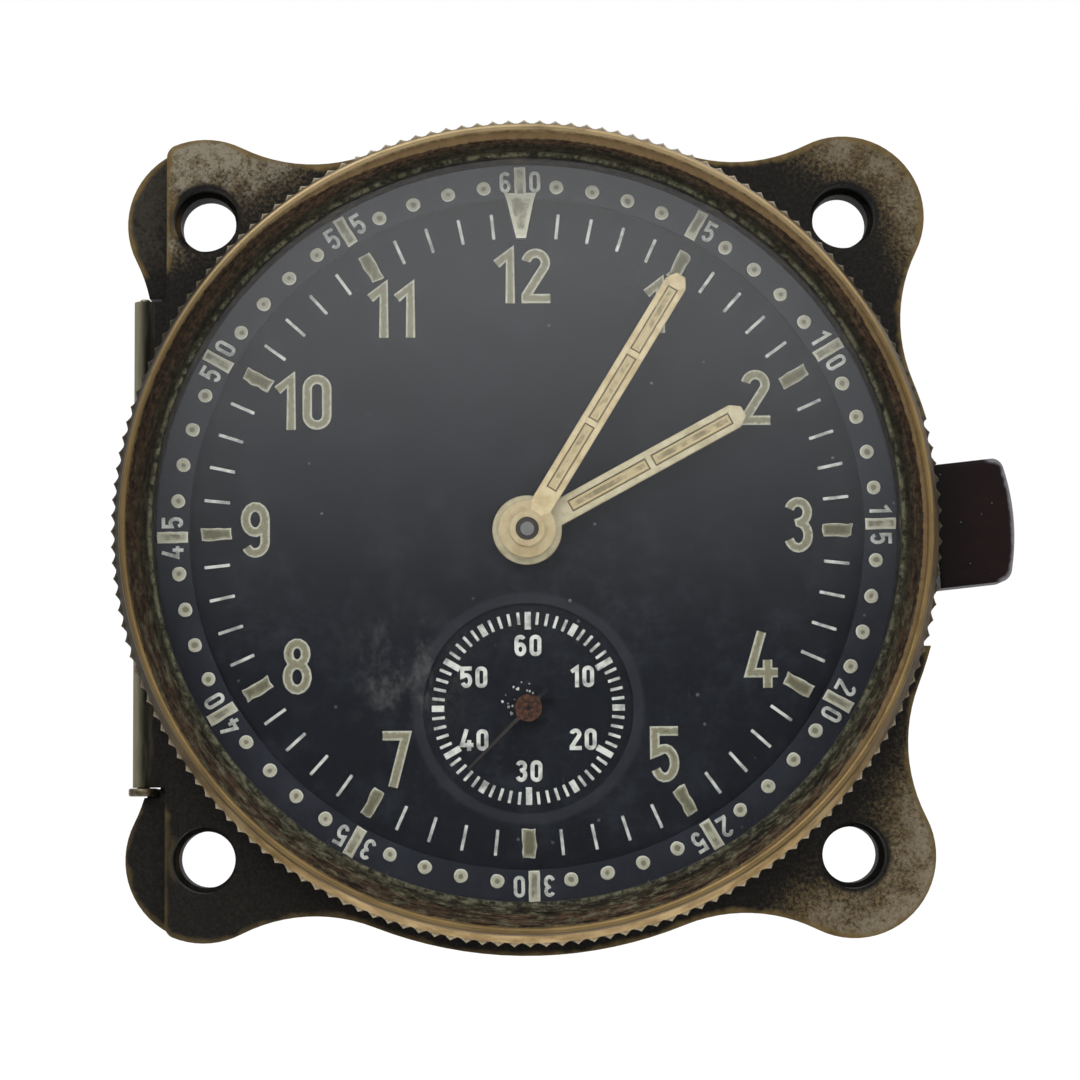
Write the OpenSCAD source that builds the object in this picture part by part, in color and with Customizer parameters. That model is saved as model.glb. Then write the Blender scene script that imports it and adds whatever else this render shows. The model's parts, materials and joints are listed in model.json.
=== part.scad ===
// Aircraft cockpit clock on a hinged four-lug flange, with a turning bezel and a lever movement.
// Drawing frame of each piece: x to three o'clock, y to twelve o'clock, z toward the viewer.
// The rear face of the rear plate is at z = 0. All sizes in millimetres.

/* [Flange plates] */
// distance between neighbouring panel holes
hole_spacing = 48; // [47:0.5:52]
// radius of the corner lugs
lug_r = 6.1; // [5.6:0.1:7]
// radius of the round middle of the plates
waist_r = 31.2; // [30.6:0.1:32.4]
// radius of the hollow between lug and round middle
fillet_r = 12; // [9:0.5:16]
// thickness of each plate
plate_t = 1.6; // [1.5:0.1:2]
// gap between the closed plates
plate_gap = 0.1; // [0.06:0.02:0.2]
// panel hole diameter in the rear plate
rear_hole_d = 4.2; // [3.4:0.1:4.6]
// screw access hole diameter in the front plate
front_hole_d = 4.9; // [4.2:0.1:5.2]
// radius of the opening in the rear plate
rear_open_r = 27; // [26.8:0.1:27.4]
// distance of the front plate's straight left edge from the centre line
left_edge_x = 26.9; // [26.6:0.1:27.2]
// distance of the flat on the right from the centre line
right_edge_x = 28.6; // [28.5:0.1:28.8]
// height of the flat on the right
right_edge_h = 17; // [14:1:20]

/* [Hinge] */
// distance of the hinge axis from the centre line
hinge_x = 28.75; // [28.6:0.05:29.2]
// radius of the hinge barrel
knuckle_r = 0.8; // [0.7:0.05:0.9]
// radius of the hinge pin
hinge_pin_r = 0.4; // [0.3:0.05:0.5]
// upper end of the barrel above the centre line
hinge_top = 18; // [14:0.5:18.5]
// lower end of the barrel below the centre line
hinge_bottom = 18.6; // [14:0.5:18.8]
// length of the middle knuckle
mid_knuckle = 11.8; // [8:0.5:16]
// radius of the pin head
hinge_head_r = 1.1; // [0.9:0.05:1.2]

/* [Case] */
// outer radius of the case can
can_r = 23.5; // [23:0.1:23.6]
// wall of the case can
can_wall = 0.7; // [0.5:0.1:0.8]
// depth of the can behind the mount face
can_depth = 12; // [12:0.5:14]
// thickness of the case back
back_t = 0.8; // [0.6:0.1:1.2]

/* [Bezel] */
// outer radius of the knurl
knurl_r = 30.6; // [30.2:0.1:30.9]
// number of knurl flutes
knurl_count = 164; // [120:4:180]
// depth of the knurl flutes
knurl_depth = 0.36; // [0.2:0.02:0.42]
// height of the knurled band
knurl_h = 2.2; // [1.6:0.1:2.6]
// outer radius of the rim below the knurl
rim_r = 29.75; // [29.5:0.05:29.9]
// front of the rim above the mount face
rim_front = 9.9; // [9.8:0.1:10.6]
// radius of the clear opening
view_r = 27; // [26.6:0.1:27.2]
// thickness of the crystal
crystal_t = 1.3; // [1:0.1:1.4]
// inner radius of the chapter ring
chapter_r = 24.8; // [24.4:0.1:25.2]
// radius that the pointer on the chapter ring reaches in to
pointer_tip_r = 21.7; // [20.8:0.1:22.4]

/* [Dial and hands] */
// radius of the dial
dial_r = 27.5; // [27:0.1:27.8]
// thickness of the dial
dial_t = 0.5; // [0.4:0.05:0.6]
// distance of the seconds dial below the centre
seconds_y = 13; // [12.8:0.1:13.4]
// radius of the sunk seconds dial
seconds_dial_r = 7.75; // [7.4:0.05:8]
// depth of the sunk seconds dial
seconds_dial_sink = 0.2; // [0.1:0.02:0.26]
// length of the minute hand
minute_len = 21.9; // [19:0.1:23.5]
// width of the minute hand
minute_w = 1.7; // [1.4:0.1:2]
// length of the hour hand
hour_len = 18.2; // [15:0.1:20]
// width of the hour hand
hour_w = 1.85; // [1.5:0.05:2.2]
// length of the seconds hand
seconds_len = 6.3; // [4.5:0.1:7]
// minute hand angle at rest, clockwise from twelve
minute_at = 31.5; // [0:0.5:360]
// hour hand angle at rest, clockwise from twelve
hour_at = 61.5; // [0:0.5:360]
// seconds hand angle at rest, clockwise from sixty
seconds_at = 225; // [0:1:360]

/* [Latch] */
// distance of the latch pivot from the centre
latch_x = 25.2; // [25.1:0.05:25.3]
// tilt of the lever at rest
latch_tilt = 8; // [4:1:10]
// reach of the grip from the pivot
grip_reach = 11.7; // [10:0.1:13]
// width of the grip
grip_w = 9.3; // [7:0.1:10]
// thickness of the grip
grip_t = 2.6; // [2.2:0.1:2.6]

/* [Movement] */
// module of the centre wheel
centre_m = 0.24; // [0.23:0.005:0.245]
// module of the third wheel
third_m = 0.2; // [0.195:0.005:0.205]
// module of the fourth wheel
fourth_m = 0.18; // [0.175:0.005:0.185]
// module of the barrel teeth
barrel_m = 0.19; // [0.185:0.005:0.195]
// distance between cannon pinion and minute wheel stud
motion_a = 4.8; // [4.7:0.05:4.9]
// radius of the escape wheel
escape_r = 3.7; // [3.4:0.1:3.7]
// radius of the balance wheel
balance_r = 7; // [6.4:0.1:7]
// radius of the circle of pillars
pillar_at = 17.6; // [17.4:0.1:17.7]

/* [Clearances] */
// running clearance of shafts and pins, on the radius
run = 0.03; // [0.02:0.01:0.05]
// clearance between parts that pass each other
free = 0.1; // [0.06:0.02:0.16]
// clearance around the bezel's bearing, on the radius
bezel_run = 0.05; // [0.03:0.01:0.08]

/* [Hidden] */
$fn = 96;
over = 1;
lug_at = hole_spacing / 2;
lug_dist = lug_at * sqrt(2);
fillet_a = (pow(waist_r + fillet_r, 2) - pow(lug_r + fillet_r, 2) + pow(lug_dist, 2)) / (2 * lug_dist);
fillet_b = sqrt(pow(waist_r + fillet_r, 2) - pow(fillet_a, 2));
front_z = plate_t + plate_gap;
flange_z = front_z + plate_t;
hinge_z = plate_t + plate_gap / 2;
slot_x = -hinge_x + hinge_head_r + 0.15;
leaf_t = 0.5;
leaf_z = front_z + free;
lip_t = 0.4;
lip_w = 0.7;
can_in_r = can_r - can_wall;
back_z = -can_depth - back_t;
rim_ring_in = can_in_r - 2.2;
rim_ring_t = 0.8;
back_screw_at = can_in_r - 1.1;
back_screw_r = 0.5;
back_screw_head_r = 0.95;
back_screw_head_t = 0.5;

seat_t = 0.8;
seat_z = flange_z + seat_t;
skirt_wall = 0.8;
seat_wall_r = rim_r - skirt_wall - bezel_run;
seat_wall_in = seat_wall_r - 0.6;
seat_wall_z = seat_z + 2.5;
spigot_out = can_in_r - free;
spigot_in = spigot_out - 3.2;
spigot_z = flange_z - 1;
seat_screw_at = 26;
seat_screw_r = 0.55;
seat_screw_head_r = 1;
seat_screw_head_t = 0.5;
snap_r = 0.2;
snap_z = seat_z + 0.9;
snap_at = seat_wall_r + bezel_run / 2;
groove_h = 0.5;

skirt_in = rim_r - skirt_wall;
skirt_z = flange_z + 0.45;
knurl_z = skirt_z + 0.25;
rim_wall = 1.75;
bore_r = rim_r - rim_wall;
bore_z = seat_wall_z + 0.15;
rim_round = 0.4;
// radius of the sloping side where it meets the knurl
flank_r = knurl_r - knurl_depth - 0.04;
// how far the sloping side leans in from the rim's radius
rim_lean = 0.7;
lip_z = rim_front - 0.9;
crest_r = rim_r - rim_lean - rim_round;
bevel_top_r = crest_r - 0.4;
gasket_t = 0.2;
crystal_z = lip_z - gasket_t - crystal_t;
chapter_t = 0.4;
dial_z = seat_z + dial_t;
chapter_z = dial_z + 0.45;
spacer_z = chapter_z + chapter_t;
spacer_w = 0.7;
pointer_w = 2.2;
pointer_tip_w = 0.8;

move_front_z = spigot_z;
move_plate_t = 1.2;
move_front_back = move_front_z - move_plate_t;
move_r = can_in_r - 0.3;
move_gap = 7;
move_back_z = move_front_back - move_gap;
move_back_rear = move_back_z - move_plate_t;
move_back_r = 20;
pillar_angles = [5, 95, 170, 310];
pillar_r = 1.2;
pillar_screw_r = 0.5;
pillar_screw_head_r = 0.95;
screw_head_t = 0.45;
move_screw_at = (spigot_in + spigot_out) / 2;
move_screw_angles = [30, 150, 270];
move_screw_r = 0.5;
foot_at = move_screw_at;
foot_angles = [80, 210];
foot_r = 0.5;
foot_len = 1.2;

centre_n = 64;
third_leaves = 8;
third_n = 60;
fourth_leaves = 8;
fourth_n = 60;
escape_leaves = 6;
escape_n = 15;
barrel_n = 96;
centre_leaves = 12;
cannon_n = 12;
minute_n = 36;
minute_leaves = 10;
hour_n = 40;
motion_m = 2 * motion_a / (cannon_n + minute_n);
hour_m = 2 * motion_a / (minute_leaves + hour_n);
centre_a = (centre_n + third_leaves) * centre_m / 2;
third_a = (third_n + fourth_leaves) * third_m / 2;
fourth_a = (fourth_n + escape_leaves) * fourth_m / 2;
barrel_a = (barrel_n + centre_leaves) * barrel_m / 2;

fourth_x = 0;
fourth_y = -seconds_y;
third_y = -(pow(centre_a, 2) - pow(third_a, 2) + pow(seconds_y, 2)) / (2 * seconds_y);
third_x = sqrt(pow(centre_a, 2) - pow(third_y, 2));
third_dir = atan2(third_y, third_x);
fourth_dir = atan2(fourth_y - third_y, fourth_x - third_x);
escape_dir = 200;
escape_x = fourth_x + fourth_a * cos(escape_dir);
escape_y = fourth_y + fourth_a * sin(escape_dir);
pallet_dir = 120;
pallet_a = escape_r + 0.57;
pallet_x = escape_x + pallet_a * cos(pallet_dir);
pallet_y = escape_y + pallet_a * sin(pallet_dir);
fork_a = 5;
balance_x = pallet_x + fork_a * cos(pallet_dir);
balance_y = pallet_y + fork_a * sin(pallet_dir);
barrel_dir = 50;
barrel_x = barrel_a * cos(barrel_dir);
barrel_y = barrel_a * sin(barrel_dir);
stud_dir = 150;
stud_x = motion_a * cos(stud_dir);
stud_y = motion_a * sin(stud_dir);

wheel_t = 0.4;
pivot_r = 0.25;
pivot_len = 0.9;
shoulder = 0.1;
arbor_top = move_front_back - shoulder;
arbor_bottom = move_back_z + shoulder;
centre_arbor_r = 0.5;
centre_wheel_z = move_front_back - 0.9;
centre_pinion_z = move_back_z + 0.3;
barrel_teeth_z = move_back_z + 0.6;
barrel_teeth_t = 0.6;
drum_r = 8.5;
drum_wall = 0.5;
drum_top = barrel_teeth_z + barrel_teeth_t + 3;
cover_t = 0.4;
barrel_bore = 1;
core_r = 1.6;
spring_in = 2;
spring_turns = 7;
spring_strip = 0.22;
third_wheel_z = move_back_z + 1.4;
fourth_wheel_z = move_front_back - 2.5;
escape_wheel_z = move_back_z + 2.3;
third_arbor_r = 0.45;
fourth_arbor_r = 0.38;
escape_arbor_r = 0.24;
pallet_arbor_r = 0.35;
staff_r = 0.45;
seconds_pivot_r = 0.3;
pipe_wall = 0.35;
cannon_r = centre_arbor_r + pipe_wall;
hour_pipe_in = cannon_r + bezel_run;
hour_pipe_r = hour_pipe_in + pipe_wall;
cannon_z = move_front_z + 0.15;
minute_wheel_z = move_front_z + 0.2;
hour_wheel_z = move_front_z + 0.9;
hour_hand_z = dial_z + 1.1;
hour_hand_t = 0.25;
minute_hand_z = hour_hand_z + 0.7;
minute_hand_t = 0.25;
seconds_hand_z = dial_z + 0.35;
seconds_hand_t = 0.2;
hour_hub_r = 2.55;
minute_hub_r = 2.1;
boss_r = 1.3;
boss_t = 0.5;
stud_r = 0.4;
balance_z = move_back_rear - 1.7;
balance_t = 0.8;
balance_rim = 0.8;
spring_z = balance_z - 0.9;
hair_t = 0.5;
hair_in = 0.9;
hair_out = 3.6;
hair_turns = 5;
hair_strip = 0.1;
cock_z = move_back_rear - 3.9;
cock_t = 0.8;
cock_dir = 125;
cock_reach = balance_r + 2.2;
cock_r = 1.8;
cock_x = balance_x + cock_reach * cos(cock_dir);
cock_y = balance_y + cock_reach * sin(cock_dir);
ratchet_z = move_back_rear - 0.7;
ratchet_t = 0.5;
ratchet_r = 4;
ratchet_n = 24;
click_dir = -20;
click_at = 6.6;
click_end = 4.63;
key_arbor_r = 0.9;
key_z = back_z - 4.2;
knob_r = 3.2;
knob_t = 2.6;
knob_z = back_z - 0.8 - knob_t;

latch_pin_r = 0.6;
sleeve_r = 1.1;
arm_half = 1.2;
arm_t = 0.8;
arm_z = front_z + 0.05;
hook_z = 0.1;
hook_t = 0.6;
hook_r = 0.6;
hook_at = 4.6;
hook_dir = 80;
rebate_r = rear_open_r + 1.2;
rebate_t = 0.8;
grip_in = 4.9;
grip_z = flange_z + 0.05 - grip_t;
grip_end_r = 14.5;
rivet_r = 0.5;
rivet_head_r = 0.9;
rivet_head_t = 0.35;
rivet_at = [6.7, 8.9];
lever_end = 9.9;

black_paint = [0.10, 0.10, 0.10];
brass = [0.72, 0.58, 0.32];
aged_brass = [0.42, 0.34, 0.22];
steel = [0.62, 0.63, 0.65];
dial_black = [0.14, 0.15, 0.17];
cream = [0.88, 0.82, 0.68];
bakelite = [0.16, 0.09, 0.08];
blued = [0.2, 0.22, 0.32];
clear_glass = [0.8, 0.88, 0.9, 0.35];
rubber_black = [0.05, 0.05, 0.05];

// turns a piece from the drawing frame to the standing clock
module face() {
  rotate([90, 0, 0]) children();
}

// round post between two heights
module post(x, y, r, z0, z1) {
  translate([x, y, z0]) cylinder(r = r, h = z1 - z0);
}

// flat ring between two heights
module ring(r_out, r_in, z0, z1) {
  translate([0, 0, z0]) difference() {
    cylinder(r = r_out, h = z1 - z0);
    translate([0, 0, -over]) cylinder(r = r_in, h = z1 - z0 + 2 * over);
  }
}

// box from its limits
module block(x0, x1, y0, y1, z0, z1) {
  translate([x0, y0, z0]) cube([x1 - x0, y1 - y0, z1 - z0]);
}

// hollow between a lug and the round middle
module lug_web(side) {
  difference() {
    polygon([[0, 0], [lug_dist, 0], [fillet_a, side * fillet_b]]);
    translate([fillet_a, side * fillet_b]) circle(r = fillet_r);
  }
}

// outline of a flange plate with its flat on the right
module plate_outline() {
  difference() {
    union() {
      circle(r = waist_r);
      for (a = [45:90:315]) rotate(a) {
        translate([lug_dist, 0]) circle(r = lug_r);
        lug_web(1);
        lug_web(-1);
      }
    }
    translate([right_edge_x, -right_edge_h / 2]) square([waist_r, right_edge_h]);
  }
}

// round holes at the four lugs
module lug_holes(d) {
  for (a = [45:90:315]) rotate(a) translate([lug_dist, 0]) circle(d = d);
}

// piece of the hinge barrel between two heights
module knuckle(r, y0, y1) {
  translate([-hinge_x, y0, hinge_z]) rotate([-90, 0, 0]) cylinder(r = r, h = y1 - y0);
}

// point on the rounded flank of a wheel tooth
function flank(r, roll, turn) =
  let(t = turn * roll / r)
  [(r + roll) * cos(t) - roll * cos(t + turn), (r + roll) * sin(t) - roll * sin(t + turn)];

// angle of the teeth of a pinion that meshes with a wheel whose first tooth points along x
function mesh_phase(n_a, n_b, dir) = dir + 180 + dir * n_a / n_b + 180 / n_b;

// half of a wheel tooth, from root to tip, as radius and angle
function half_tooth(n, m, leaves) =
  let(r = n * m / 2, roll = leaves * m / 4, full = acos(1 - 1.2 * m / roll), half = 90 / n)
  [[r - 1.05 * m, -half], [r, -half],
   for (k = [0.62, 1]) let(p = flank(r, roll, full * k)) [norm(p), atan2(p[1], p[0]) - half]];

// half of a pinion leaf, from root to tip, as radius and angle
function half_leaf(n, m) =
  let(r = n * m / 2, half = 60 / n)
  [[r - 1.5 * m, -half], [r, -half], [r + 0.32 * m, -0.75 * half], [r + 0.5 * m, -0.3 * half]];

// toothed disc from the half outline of one tooth
module toothed(n, half, phase) {
  tooth = concat(half, [for (k = [len(half) - 1:-1:0]) [half[k][0], -half[k][1]]]);
  polygon([for (i = [0:n - 1]) for (p = tooth)
    [p[0] * cos(phase + p[1] + i * 360 / n), p[0] * sin(phase + p[1] + i * 360 / n)]]);
}

// wheel with spokes, first tooth at the given angle
module spoked_wheel(n, m, leaves, phase, hole_r, hub_r, spokes, t) {
  rim = n * m / 2 - 1.05 * m - 0.6;
  linear_extrude(t) difference() {
    toothed(n, half_tooth(n, m, leaves), phase);
    difference() {
      circle(r = rim);
      circle(r = hub_r);
      for (a = [0:360 / spokes:359]) rotate(a) translate([0, -0.35]) square([rim + 0.2, 0.7]);
    }
    circle(r = hole_r);
  }
}

// pinion leaves on an arbor, first leaf at the given angle
module leaves_on(n, m, phase, z0, z1) {
  translate([0, 0, z0]) linear_extrude(z1 - z0) toothed(n, half_leaf(n, m), phase);
}

// arbor body with a pivot at each end
module arbor(r) {
  post(0, 0, r, arbor_bottom, arbor_top);
  post(0, 0, pivot_r, arbor_bottom - pivot_len, arbor_top + pivot_len);
}

// flat spiral strip
module spiral(r0, r1, turns, strip, t, first) {
  steps = turns * 30;
  linear_extrude(t) polygon(concat(
    [for (i = [0:steps]) let(r = r0 + (r1 - r0) * i / steps, a = first + i * 12) [r * cos(a), r * sin(a)]],
    [for (i = [steps:-1:0]) let(r = r0 + (r1 - r0) * i / steps - strip, a = first + i * 12)
      [r * cos(a), r * sin(a)]]));
}

// bar of a hand along y with its windows cut out
module hand_bar(len, w, hub, hole, from, windows, t) {
  pane = (len - from - 1.1 - 0.45 * (windows - 1)) / windows;
  linear_extrude(t) difference() {
    union() {
      circle(r = hub);
      polygon([[-w / 2, 0], [w / 2, 0], [w / 2, len - 0.75], [w * 0.22, len],
        [-w * 0.22, len], [-w / 2, len - 0.75]]);
    }
    circle(r = hole);
    for (k = [0:windows - 1]) translate([-w * 0.24, from + k * (pane + 0.45)]) square([w * 0.48, pane]);
  }
}

// places a shape in the frame of the latch lever
module on_latch() {
  translate([latch_x, 0, 0]) rotate(latch_tilt) children();
}

// outline of the latch grip
module grip_outline() {
  intersection() {
    translate([grip_in, -grip_w / 2]) square([grip_reach, grip_w]);
    translate([grip_reach - grip_end_r, 0]) circle(r = grip_end_r);
  }
}

module rear_plate() {
  color(black_paint) face() difference() {
    union() {
      linear_extrude(plate_t) difference() {
        plate_outline();
        circle(r = rear_open_r);
        lug_holes(rear_hole_d);
        translate([-hinge_x - knuckle_r - free - waist_r, -hinge_bottom])
          square([waist_r, hinge_bottom + hinge_top]);
      }
      knuckle(knuckle_r, -mid_knuckle / 2, mid_knuckle / 2);
    }
    knuckle(hinge_pin_r, -mid_knuckle, mid_knuckle);
    block(-waist_r - lug_r, slot_x, mid_knuckle / 2, hinge_top + 0.35, -over, plate_t + over);
    block(-waist_r - lug_r, slot_x, -hinge_bottom - 0.1, -mid_knuckle / 2, -over, plate_t + over);
    knuckle(hinge_head_r + 0.1, -hinge_bottom - 0.75, -hinge_bottom);
    intersection() {
      post(0, 0, rebate_r, -over, rebate_t);
      block(latch_x - 2, right_edge_x, 2, right_edge_h / 2 - 1, -over, rebate_t);
    }
  }
}

module hinge_pin() {
  color(aged_brass) face() {
    knuckle(hinge_pin_r, -hinge_bottom - 0.6, hinge_top + 0.25);
    knuckle(hinge_head_r, -hinge_bottom - 0.65, -hinge_bottom - 0.05);
  }
}

module front_plate() {
  color(black_paint) face() difference() {
    union() {
      translate([0, 0, front_z]) linear_extrude(plate_t) difference() {
        intersection() {
          plate_outline();
          translate([-left_edge_x, -hole_spacing]) square([2 * hole_spacing, 2 * hole_spacing]);
        }
        circle(r = can_r);
        lug_holes(front_hole_d);
      }
      knuckle(knuckle_r, mid_knuckle / 2 + free, hinge_top);
      knuckle(knuckle_r, -hinge_bottom, -mid_knuckle / 2 - free);
      block(-hinge_x, -left_edge_x + 0.3, mid_knuckle / 2 + free, hinge_top, leaf_z, leaf_z + leaf_t);
      block(-hinge_x, -left_edge_x + 0.3, -hinge_bottom, -mid_knuckle / 2 - free, leaf_z, leaf_z + leaf_t);
    }
    knuckle(hinge_pin_r + run, -hinge_bottom - over, hinge_top + over);
    post(latch_x, 0, arm_half + 0.15, front_z - over, arm_z + arm_t + free);
    block(latch_x, right_edge_x + over, -2.6, 2.6, front_z - over, arm_z + arm_t + free);
    post(latch_x, 0, latch_pin_r, front_z - over, flange_z + over);
    for (a = [45:90:315]) rotate(a) post(seat_screw_at, 0, seat_screw_r, front_z + 0.4, flange_z + over);
  }
}

module case_can() {
  color(black_paint) face() difference() {
    union() {
      ring(can_r, can_in_r, -can_depth, flange_z + lip_t);
      ring(can_r + lip_w, can_in_r, flange_z, flange_z + lip_t);
      ring(can_r, rim_ring_in, -can_depth, -can_depth + rim_ring_t);
    }
    for (a = [20:90:290]) rotate(a) post(back_screw_at, 0, back_screw_r, -can_depth - over, 0);
  }
}

module case_back() {
  color(black_paint) face() difference() {
    post(0, 0, can_r, back_z, -can_depth);
    post(0, 0, centre_arbor_r + 0.3, back_z - over, 0);
    post(barrel_x, barrel_y, key_arbor_r + 0.3, back_z - over, 0);
    for (a = [20:90:290]) rotate(a) post(back_screw_at, 0, back_screw_r, back_z - over, 0);
  }
}

module case_back_screws() {
  color(steel) face() for (a = [20:90:290]) rotate(a) translate([back_screw_at, 0, 0]) difference() {
    union() {
      post(0, 0, back_screw_r, back_z - 0.1, -can_depth + rim_ring_t);
      post(0, 0, back_screw_head_r, back_z - back_screw_head_t, back_z);
    }
    block(-over, over, -0.12, 0.12, back_z - over, back_z - back_screw_head_t + 0.25);
  }
}

module bezel_seat() {
  color(aged_brass) face() difference() {
    union() {
      ring(seat_wall_r, spigot_in, flange_z, seat_z);
      ring(seat_wall_r, seat_wall_in, flange_z, seat_wall_z);
      ring(spigot_out, spigot_in, spigot_z, seat_z);
    }
    ring(can_r + lip_w + 0.05, spigot_out, flange_z - over, flange_z + lip_t);
    ring(seat_wall_r + over, seat_wall_r - 0.3, snap_z - groove_h / 2, snap_z + groove_h / 2);
    for (a = [45:90:315]) rotate(a) {
      post(seat_screw_at, 0, seat_screw_r, flange_z - over, seat_z + over);
      post(seat_screw_at, 0, seat_screw_head_r, seat_z - seat_screw_head_t, seat_z + over);
    }
    for (a = move_screw_angles) rotate(a)
      post(move_screw_at, 0, move_screw_r, spigot_z - over, spigot_z + 0.9);
    for (a = foot_angles) rotate(a) post(foot_at, 0, foot_r, seat_z - foot_len - 0.1, seat_z + over);
  }
}

module seat_screws() {
  color(steel) face() for (a = [45:90:315]) rotate(a) translate([seat_screw_at, 0, 0]) difference() {
    union() {
      post(0, 0, seat_screw_r, front_z + 0.4, seat_z - 0.1);
      post(0, 0, seat_screw_head_r, seat_z - seat_screw_head_t, seat_z);
    }
    block(-seat_screw_head_r - over, seat_screw_head_r + over, -0.12, 0.12, seat_z - 0.25, seat_z + over);
  }
}

module bezel_ring() {
  color(aged_brass) face() difference() {
    union() {
      rotate_extrude() {
        polygon([[skirt_in - 0.5, skirt_z], [rim_r, skirt_z], [rim_r, knurl_z + knurl_h / 2],
          [flank_r, knurl_z + knurl_h / 2], [flank_r, knurl_z + knurl_h + 0.05],
          [rim_r - rim_lean, rim_front - rim_round], [crest_r, rim_front], [bevel_top_r, rim_front - 0.13],
          [bevel_top_r, rim_front - 0.3], [view_r, lip_z + 0.15], [view_r, skirt_z]]);
        translate([crest_r, rim_front - rim_round]) circle(r = rim_round);
      }
      translate([0, 0, knurl_z]) linear_extrude(knurl_h) polygon([for (i = [0:4 * knurl_count - 1])
        let(r = knurl_r - knurl_depth * sin(45 * (i % 4)), a = i * 90 / knurl_count)
        [r * cos(a), r * sin(a)]]);
    }
    post(0, 0, bore_r, 0, lip_z);
    post(0, 0, skirt_in, 0, bore_z);
    ring(snap_at + snap_r + run, bore_r - over, snap_z - groove_h / 2, snap_z + groove_h / 2);
  }
}

module bezel_spring() {
  color(steel) face() rotate(20) translate([0, 0, snap_z]) rotate_extrude(angle = 330)
    translate([snap_at, 0]) circle(r = snap_r);
}

module crystal_gasket() {
  color(rubber_black) face() ring(bore_r, view_r, lip_z - gasket_t, lip_z);
}

module crystal() {
  color(clear_glass) face() post(0, 0, bore_r - 0.05, crystal_z, crystal_z + crystal_t);
}

module spacer_ring() {
  color(aged_brass) face() ring(bore_r, bore_r - spacer_w, spacer_z, crystal_z);
}

module chapter_ring() {
  color(dial_black) face() translate([0, 0, chapter_z]) linear_extrude(chapter_t) {
    difference() {
      circle(r = bore_r);
      circle(r = chapter_r);
    }
    rotate(1) polygon([[-pointer_w / 2, chapter_r + 0.4], [-pointer_w / 2, chapter_r],
      [-pointer_tip_w / 2, pointer_tip_r], [pointer_tip_w / 2, pointer_tip_r], [pointer_w / 2, chapter_r],
      [pointer_w / 2, chapter_r + 0.4]]);
  }
}

module dial() {
  color(dial_black) face() difference() {
    union() {
      post(0, 0, dial_r, seat_z, dial_z);
      for (a = foot_angles) rotate(a) post(foot_at, 0, foot_r, seat_z - foot_len, seat_z + 0.1);
    }
    post(0, 0, hour_pipe_r + 0.15, 0, dial_z + over);
    post(0, -seconds_y, seconds_dial_r, dial_z - seconds_dial_sink, dial_z + over);
    post(0, -seconds_y, seconds_pivot_r + 0.3, 0, dial_z + over);
  }
}

module hour_hand() {
  color(cream) face() translate([0, 0, hour_hand_z]) rotate(-hour_at)
    hand_bar(hour_len, hour_w, hour_hub_r, hour_pipe_r, 3.6, 2, hour_hand_t);
}

module minute_hand() {
  color(cream) face() difference() {
    union() {
      translate([0, 0, minute_hand_z]) rotate(-minute_at)
        hand_bar(minute_len, minute_w, minute_hub_r, cannon_r, 3.4, 3, minute_hand_t);
      post(0, 0, boss_r, minute_hand_z, minute_hand_z + boss_t);
    }
    post(0, 0, cannon_r, minute_hand_z - over, minute_hand_z + boss_t + over);
  }
}

module seconds_hand() {
  color(blued) face() translate([0, -seconds_y, seconds_hand_z]) rotate(-seconds_at)
    linear_extrude(seconds_hand_t)
    difference() {
      union() {
        circle(r = 1);
        polygon([[-0.16, -2], [0.16, -2], [0.08, seconds_len], [-0.08, seconds_len]]);
      }
      circle(r = seconds_pivot_r);
    }
}

module latch_lever() {
  color(steel) face() on_latch() difference() {
    union() {
      translate([0, 0, arm_z]) linear_extrude(arm_t) {
        circle(r = arm_half);
        translate([0, -arm_half]) square([lever_end, 2 * arm_half]);
      }
      post(0, 0, sleeve_r, hook_z, arm_z + arm_t);
      rotate(hook_dir) translate([0, 0, hook_z]) linear_extrude(hook_t) {
        translate([0, -hook_r]) square([hook_at, 2 * hook_r]);
        translate([hook_at, 0]) circle(r = hook_r);
      }
    }
    post(0, 0, latch_pin_r + run, 0, flange_z);
    for (u = rivet_at) post(u, 0, rivet_r, 0, flange_z);
  }
}

module latch_pivot() {
  color(steel) face() {
    post(latch_x, 0, latch_pin_r, -0.25, flange_z);
    post(latch_x, 0, latch_pin_r + 0.45, -0.3, hook_z - 0.05);
  }
}

module latch_grip() {
  color(bakelite) face() on_latch() difference() {
    translate([0, 0, grip_z]) linear_extrude(grip_t) grip_outline();
    block(0, lever_end, -arm_half, arm_half, arm_z, arm_z + arm_t);
    for (u = rivet_at) post(u, 0, rivet_r, 0, arm_z + arm_t);
  }
}

module grip_rivets() {
  color(steel) face() on_latch() for (u = rivet_at) {
    post(u, 0, rivet_r, grip_z - 0.1, arm_z + arm_t);
    post(u, 0, rivet_head_r, grip_z - rivet_head_t, grip_z);
  }
}

module movement_front_plate() {
  color(brass) face() difference() {
    post(0, 0, move_r, move_front_back, move_front_z);
    post(0, 0, centre_arbor_r + run, -can_depth, flange_z);
    post(fourth_x, fourth_y, seconds_pivot_r + run, -can_depth, flange_z);
    post(third_x, third_y, pivot_r + run, -can_depth, flange_z);
    post(escape_x, escape_y, pivot_r + run, -can_depth, flange_z);
    post(pallet_x, pallet_y, pivot_r + run, -can_depth, flange_z);
    post(balance_x, balance_y, pivot_r + run, -can_depth, flange_z);
    post(barrel_x, barrel_y, barrel_bore + run, -can_depth, flange_z);
    post(stud_x, stud_y, stud_r, -can_depth, flange_z);
    for (a = pillar_angles) rotate(a) post(pillar_at, 0, pillar_screw_r, -can_depth, flange_z);
    for (a = move_screw_angles) rotate(a) post(move_screw_at, 0, move_screw_r, -can_depth, flange_z);
  }
}

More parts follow.
